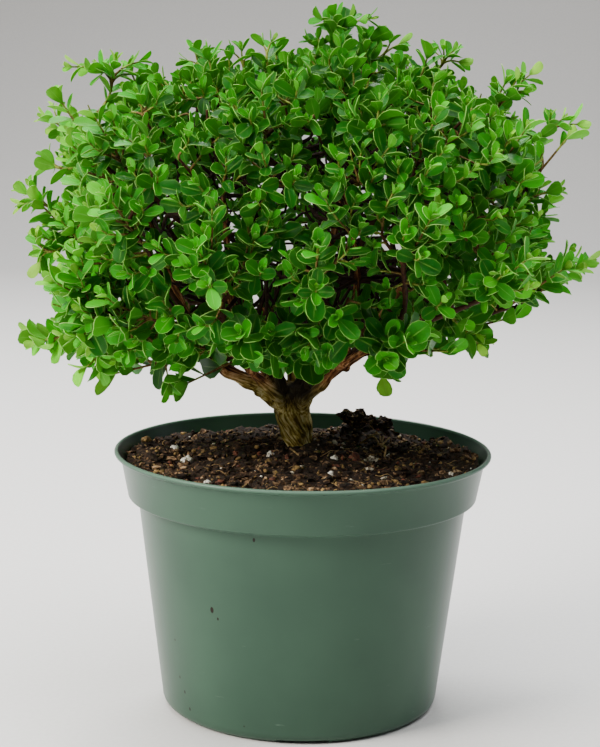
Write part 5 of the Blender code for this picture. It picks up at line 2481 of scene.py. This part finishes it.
    def stem_age(self, shoot: Shoot, end: Vector, left: float) -> float:
        """Gives a stretch of stem its age, as the twig's finish takes it.

        Args:
            shoot: The shoot that it belongs to.
            end: Where it ends.
            left: How much of the shoot is beyond it.

        Returns:
            The age, from nought for old wood to one for green.
        """
        # Stems deep inside the crown get the nearly black of painted shade
        if self.depth_share(end) < self.painted_shade_depth:
            return self.painted_shade_age
        if not shoot.pairs or left >= self.tan_length:
            return self.wood_age
        return self.green_age if left < self.green_length else self.tan_age

    def stems(self, shoots: Sequence[Shoot]) -> list[Mesh]:
        """Makes one spray's stems.

        Args:
            shoots: The spray's shoots.

        Returns:
            A mesh for each age, with the slot of the twig's finish.
        """
        parts: dict[float, list[tuple[list[Vector], list[float]]]] = {}
        for shoot in shoots:
            radii = tapered(*shoot.radii, len(shoot.path) - 1)
            left = path_length(shoot.path)
            for number, (start, end) in enumerate(zip(shoot.path, shoot.path[1:])):
                left -= (end - start).length
                lines = parts.setdefault(self.stem_age(shoot, end, left), [])
                if lines and (lines[-1][0][-1] - start).length < 1e-7:
                    lines[-1][0].append(end)
                    lines[-1][1].append(radii[number + 1])
                else:
                    lines.append(([start, end], radii[number : number + 2]))
        return [slotted(tubes(lines, 0, (age, 0.5)), len(LeafSide)) for age, lines in parts.items()]

    def build(self) -> list[Object]:
        """Makes a piece for each spray, in place of its CAD node.

        Returns:
            The pieces.
        """
        self.patterns, self.inner_patterns = (
            [
                leaf.make(
                    slim=self.draw.uniform(0.80, 1.20),
                    fold=self.draw.uniform(0.14, 0.46),
                    arch=self.draw.uniform(-0.04, 0.07),
                    twist=self.draw.uniform(-0.28, 0.28),
                )
                for _ in range(self.pattern_count)
            ]
            for leaf in (LeafPattern(), LeafPattern(rows=self.inner_rows, tip=self.inner_tip))
        )
        materials = self.finishes()
        leaves: list[list[Mesh]] = [[] for _ in self.growth.sprays]
        shoots: list[list[Shoot]] = [[] for _ in self.growth.sprays]
        taken = Spacing(self.leaf_apart)
        anchors = self.anchors()
        grown = self.leader_shoots(anchors) + self.spray_shoots() + self.tufts()
        for rule in self.generations:
            new = self.new_shoots(rule, anchors)
            LOG.info("shoots of one generation: %d", len(new))
            grown += new
        for shoot in grown:
            made = self.leaves_of(shoot, taken)
            if made or shoot.kept:
                leaves[shoot.owner] += made
                shoots[shoot.owner].append(shoot)
        LOG.info("leaves: %d", sum(map(len, leaves)))
        return [
            place_piece(
                f"leafy_spray_{number + 1:02d}_foliage",
                gathered(self.stems(own) + made),
                materials,
                f"leafy_spray_{number + 1:02d}",
            )
            for number, (own, made) in enumerate(zip(shoots, leaves))
        ]


@dataclass
class SoftLight:
    """One large soft light."""

    name: str
    place: Triple
    size: Pair
    watts: float
    colour: str = "#ffffff"


@dataclass
class Studio:
    """A pale floor, soft lights and the camera at the photograph's angle."""

    lens: float = 89.2
    sensor: float = 36.0
    place: Triple = CAMERA_PLACE
    pitch: float = 9.826
    yaw: float = 0.126
    roll: float = 0.848
    aim: Triple = (0.0, 0.0, 0.20)
    world: str = "#c9ccd0"
    world_strength: float = 0.20
    floor_reach: float = 2.0
    sweep_radius: float = 0.16
    sweep_steps: int = 12
    lights: tuple[SoftLight, ...] = (
        SoftLight("key_softbox", (-1.3, -0.75, 1.15), (0.8, 0.9), 62.0, "#fffaf2"),
        SoftLight("top_softbox", (0.1, 0.0, 1.7), (1.3, 1.3), 32.0),
        SoftLight("right_fill", (0.9, -0.5, 1.7), (0.9, 0.9), 11.0),
        SoftLight("right_strip", (0.95, 0.42, 0.40), (0.06, 0.9), 1.4, "#eef3ff"),
        SoftLight("backdrop_light", (-0.4, 1.1, 1.9), (1.6, 0.5), 68.0),
    )

    def add_camera(self) -> None:
        """Adds the camera and makes it the scene's."""
        data = bpy.data.cameras.new("camera")
        data.lens = self.lens
        data.sensor_width = self.sensor
        data.clip_end = 50
        camera = in_scene("camera", data)
        turns = ((self.yaw, "Z"), (90 - self.pitch, "X"), (self.roll, "Z"))
        matrix = Matrix.Translation(self.place)
        for angle, axis in turns:
            matrix = matrix @ Matrix.Rotation(math.radians(angle), 4, axis)
        camera.matrix_world = matrix
        bpy.context.scene.camera = camera

    def add_light(self, light: SoftLight) -> None:
        """Adds one area light that faces the plant.

        Args:
            light: The light.
        """
        data = bpy.data.lights.new(light.name, "AREA")
        data.shape = "RECTANGLE"
        data.size, data.size_y = light.size
        data.energy = light.watts
        data.color = linear(light.colour)[:3]
        lamp = in_scene(light.name, data)
        lamp.location = light.place
        way = Vector(self.aim) - Vector(light.place)
        lamp.rotation_euler = way.to_track_quat("-Z", "Y").to_euler()

    def add_floor(self) -> None:
        """Adds the floor, swept up into a wall behind the plant."""
        bm = bmesh.new()
        bmesh.ops.create_grid(bm, x_segments=1, y_segments=1, size=self.floor_reach)
        back = [e for e in bm.edges if all(v.co.y > 0 for v in e.verts)]
        for step in range(1, self.sweep_steps + 1):
            made = bmesh.ops.extrude_edge_only(bm, edges=back)
            back = [e for e in made["geom"] if isinstance(e, bmesh.types.BMEdge)]
            verts = [v for v in made["geom"] if isinstance(v, bmesh.types.BMVert)]
            angle = math.radians(90) * step / self.sweep_steps
            across, up = (self.sweep_radius * share for share in (math.cos(angle), math.sin(angle)))
            bmesh.ops.translate(bm, verts=verts, vec=(0, across, up))
        mesh = finished(bm, "floor")
        mesh.shade_smooth()
        mesh.materials.append(StudioPaper().make())
        floor = in_scene("floor", mesh)

    def add_world(self) -> None:
        """Sets the even light from all round."""
        world = bpy.data.worlds.new("studio_air")
        world.use_nodes = True
        sky = world.node_tree.nodes["Background"]
        sky.inputs["Color"].default_value = linear(self.world)
        sky.inputs["Strength"].default_value = self.world_strength
        bpy.context.scene.world = world

    def build(self) -> None:
        """Sets up the whole studio."""
        self.add_camera()
        self.add_world()
        self.add_floor()
        for light in self.lights:
            self.add_light(light)


def main() -> None:
    """Builds the studio and every piece of the plant."""
    logging.basicConfig(level=logging.INFO, format="%(message)s")
    Studio().build()
    growth = Growth()
    growth.grow()
    Pot().build()
    PottingBed().build()
    Wood(growth).build()
    Foliage(growth).build()


if __name__ == "__main__":
    main()
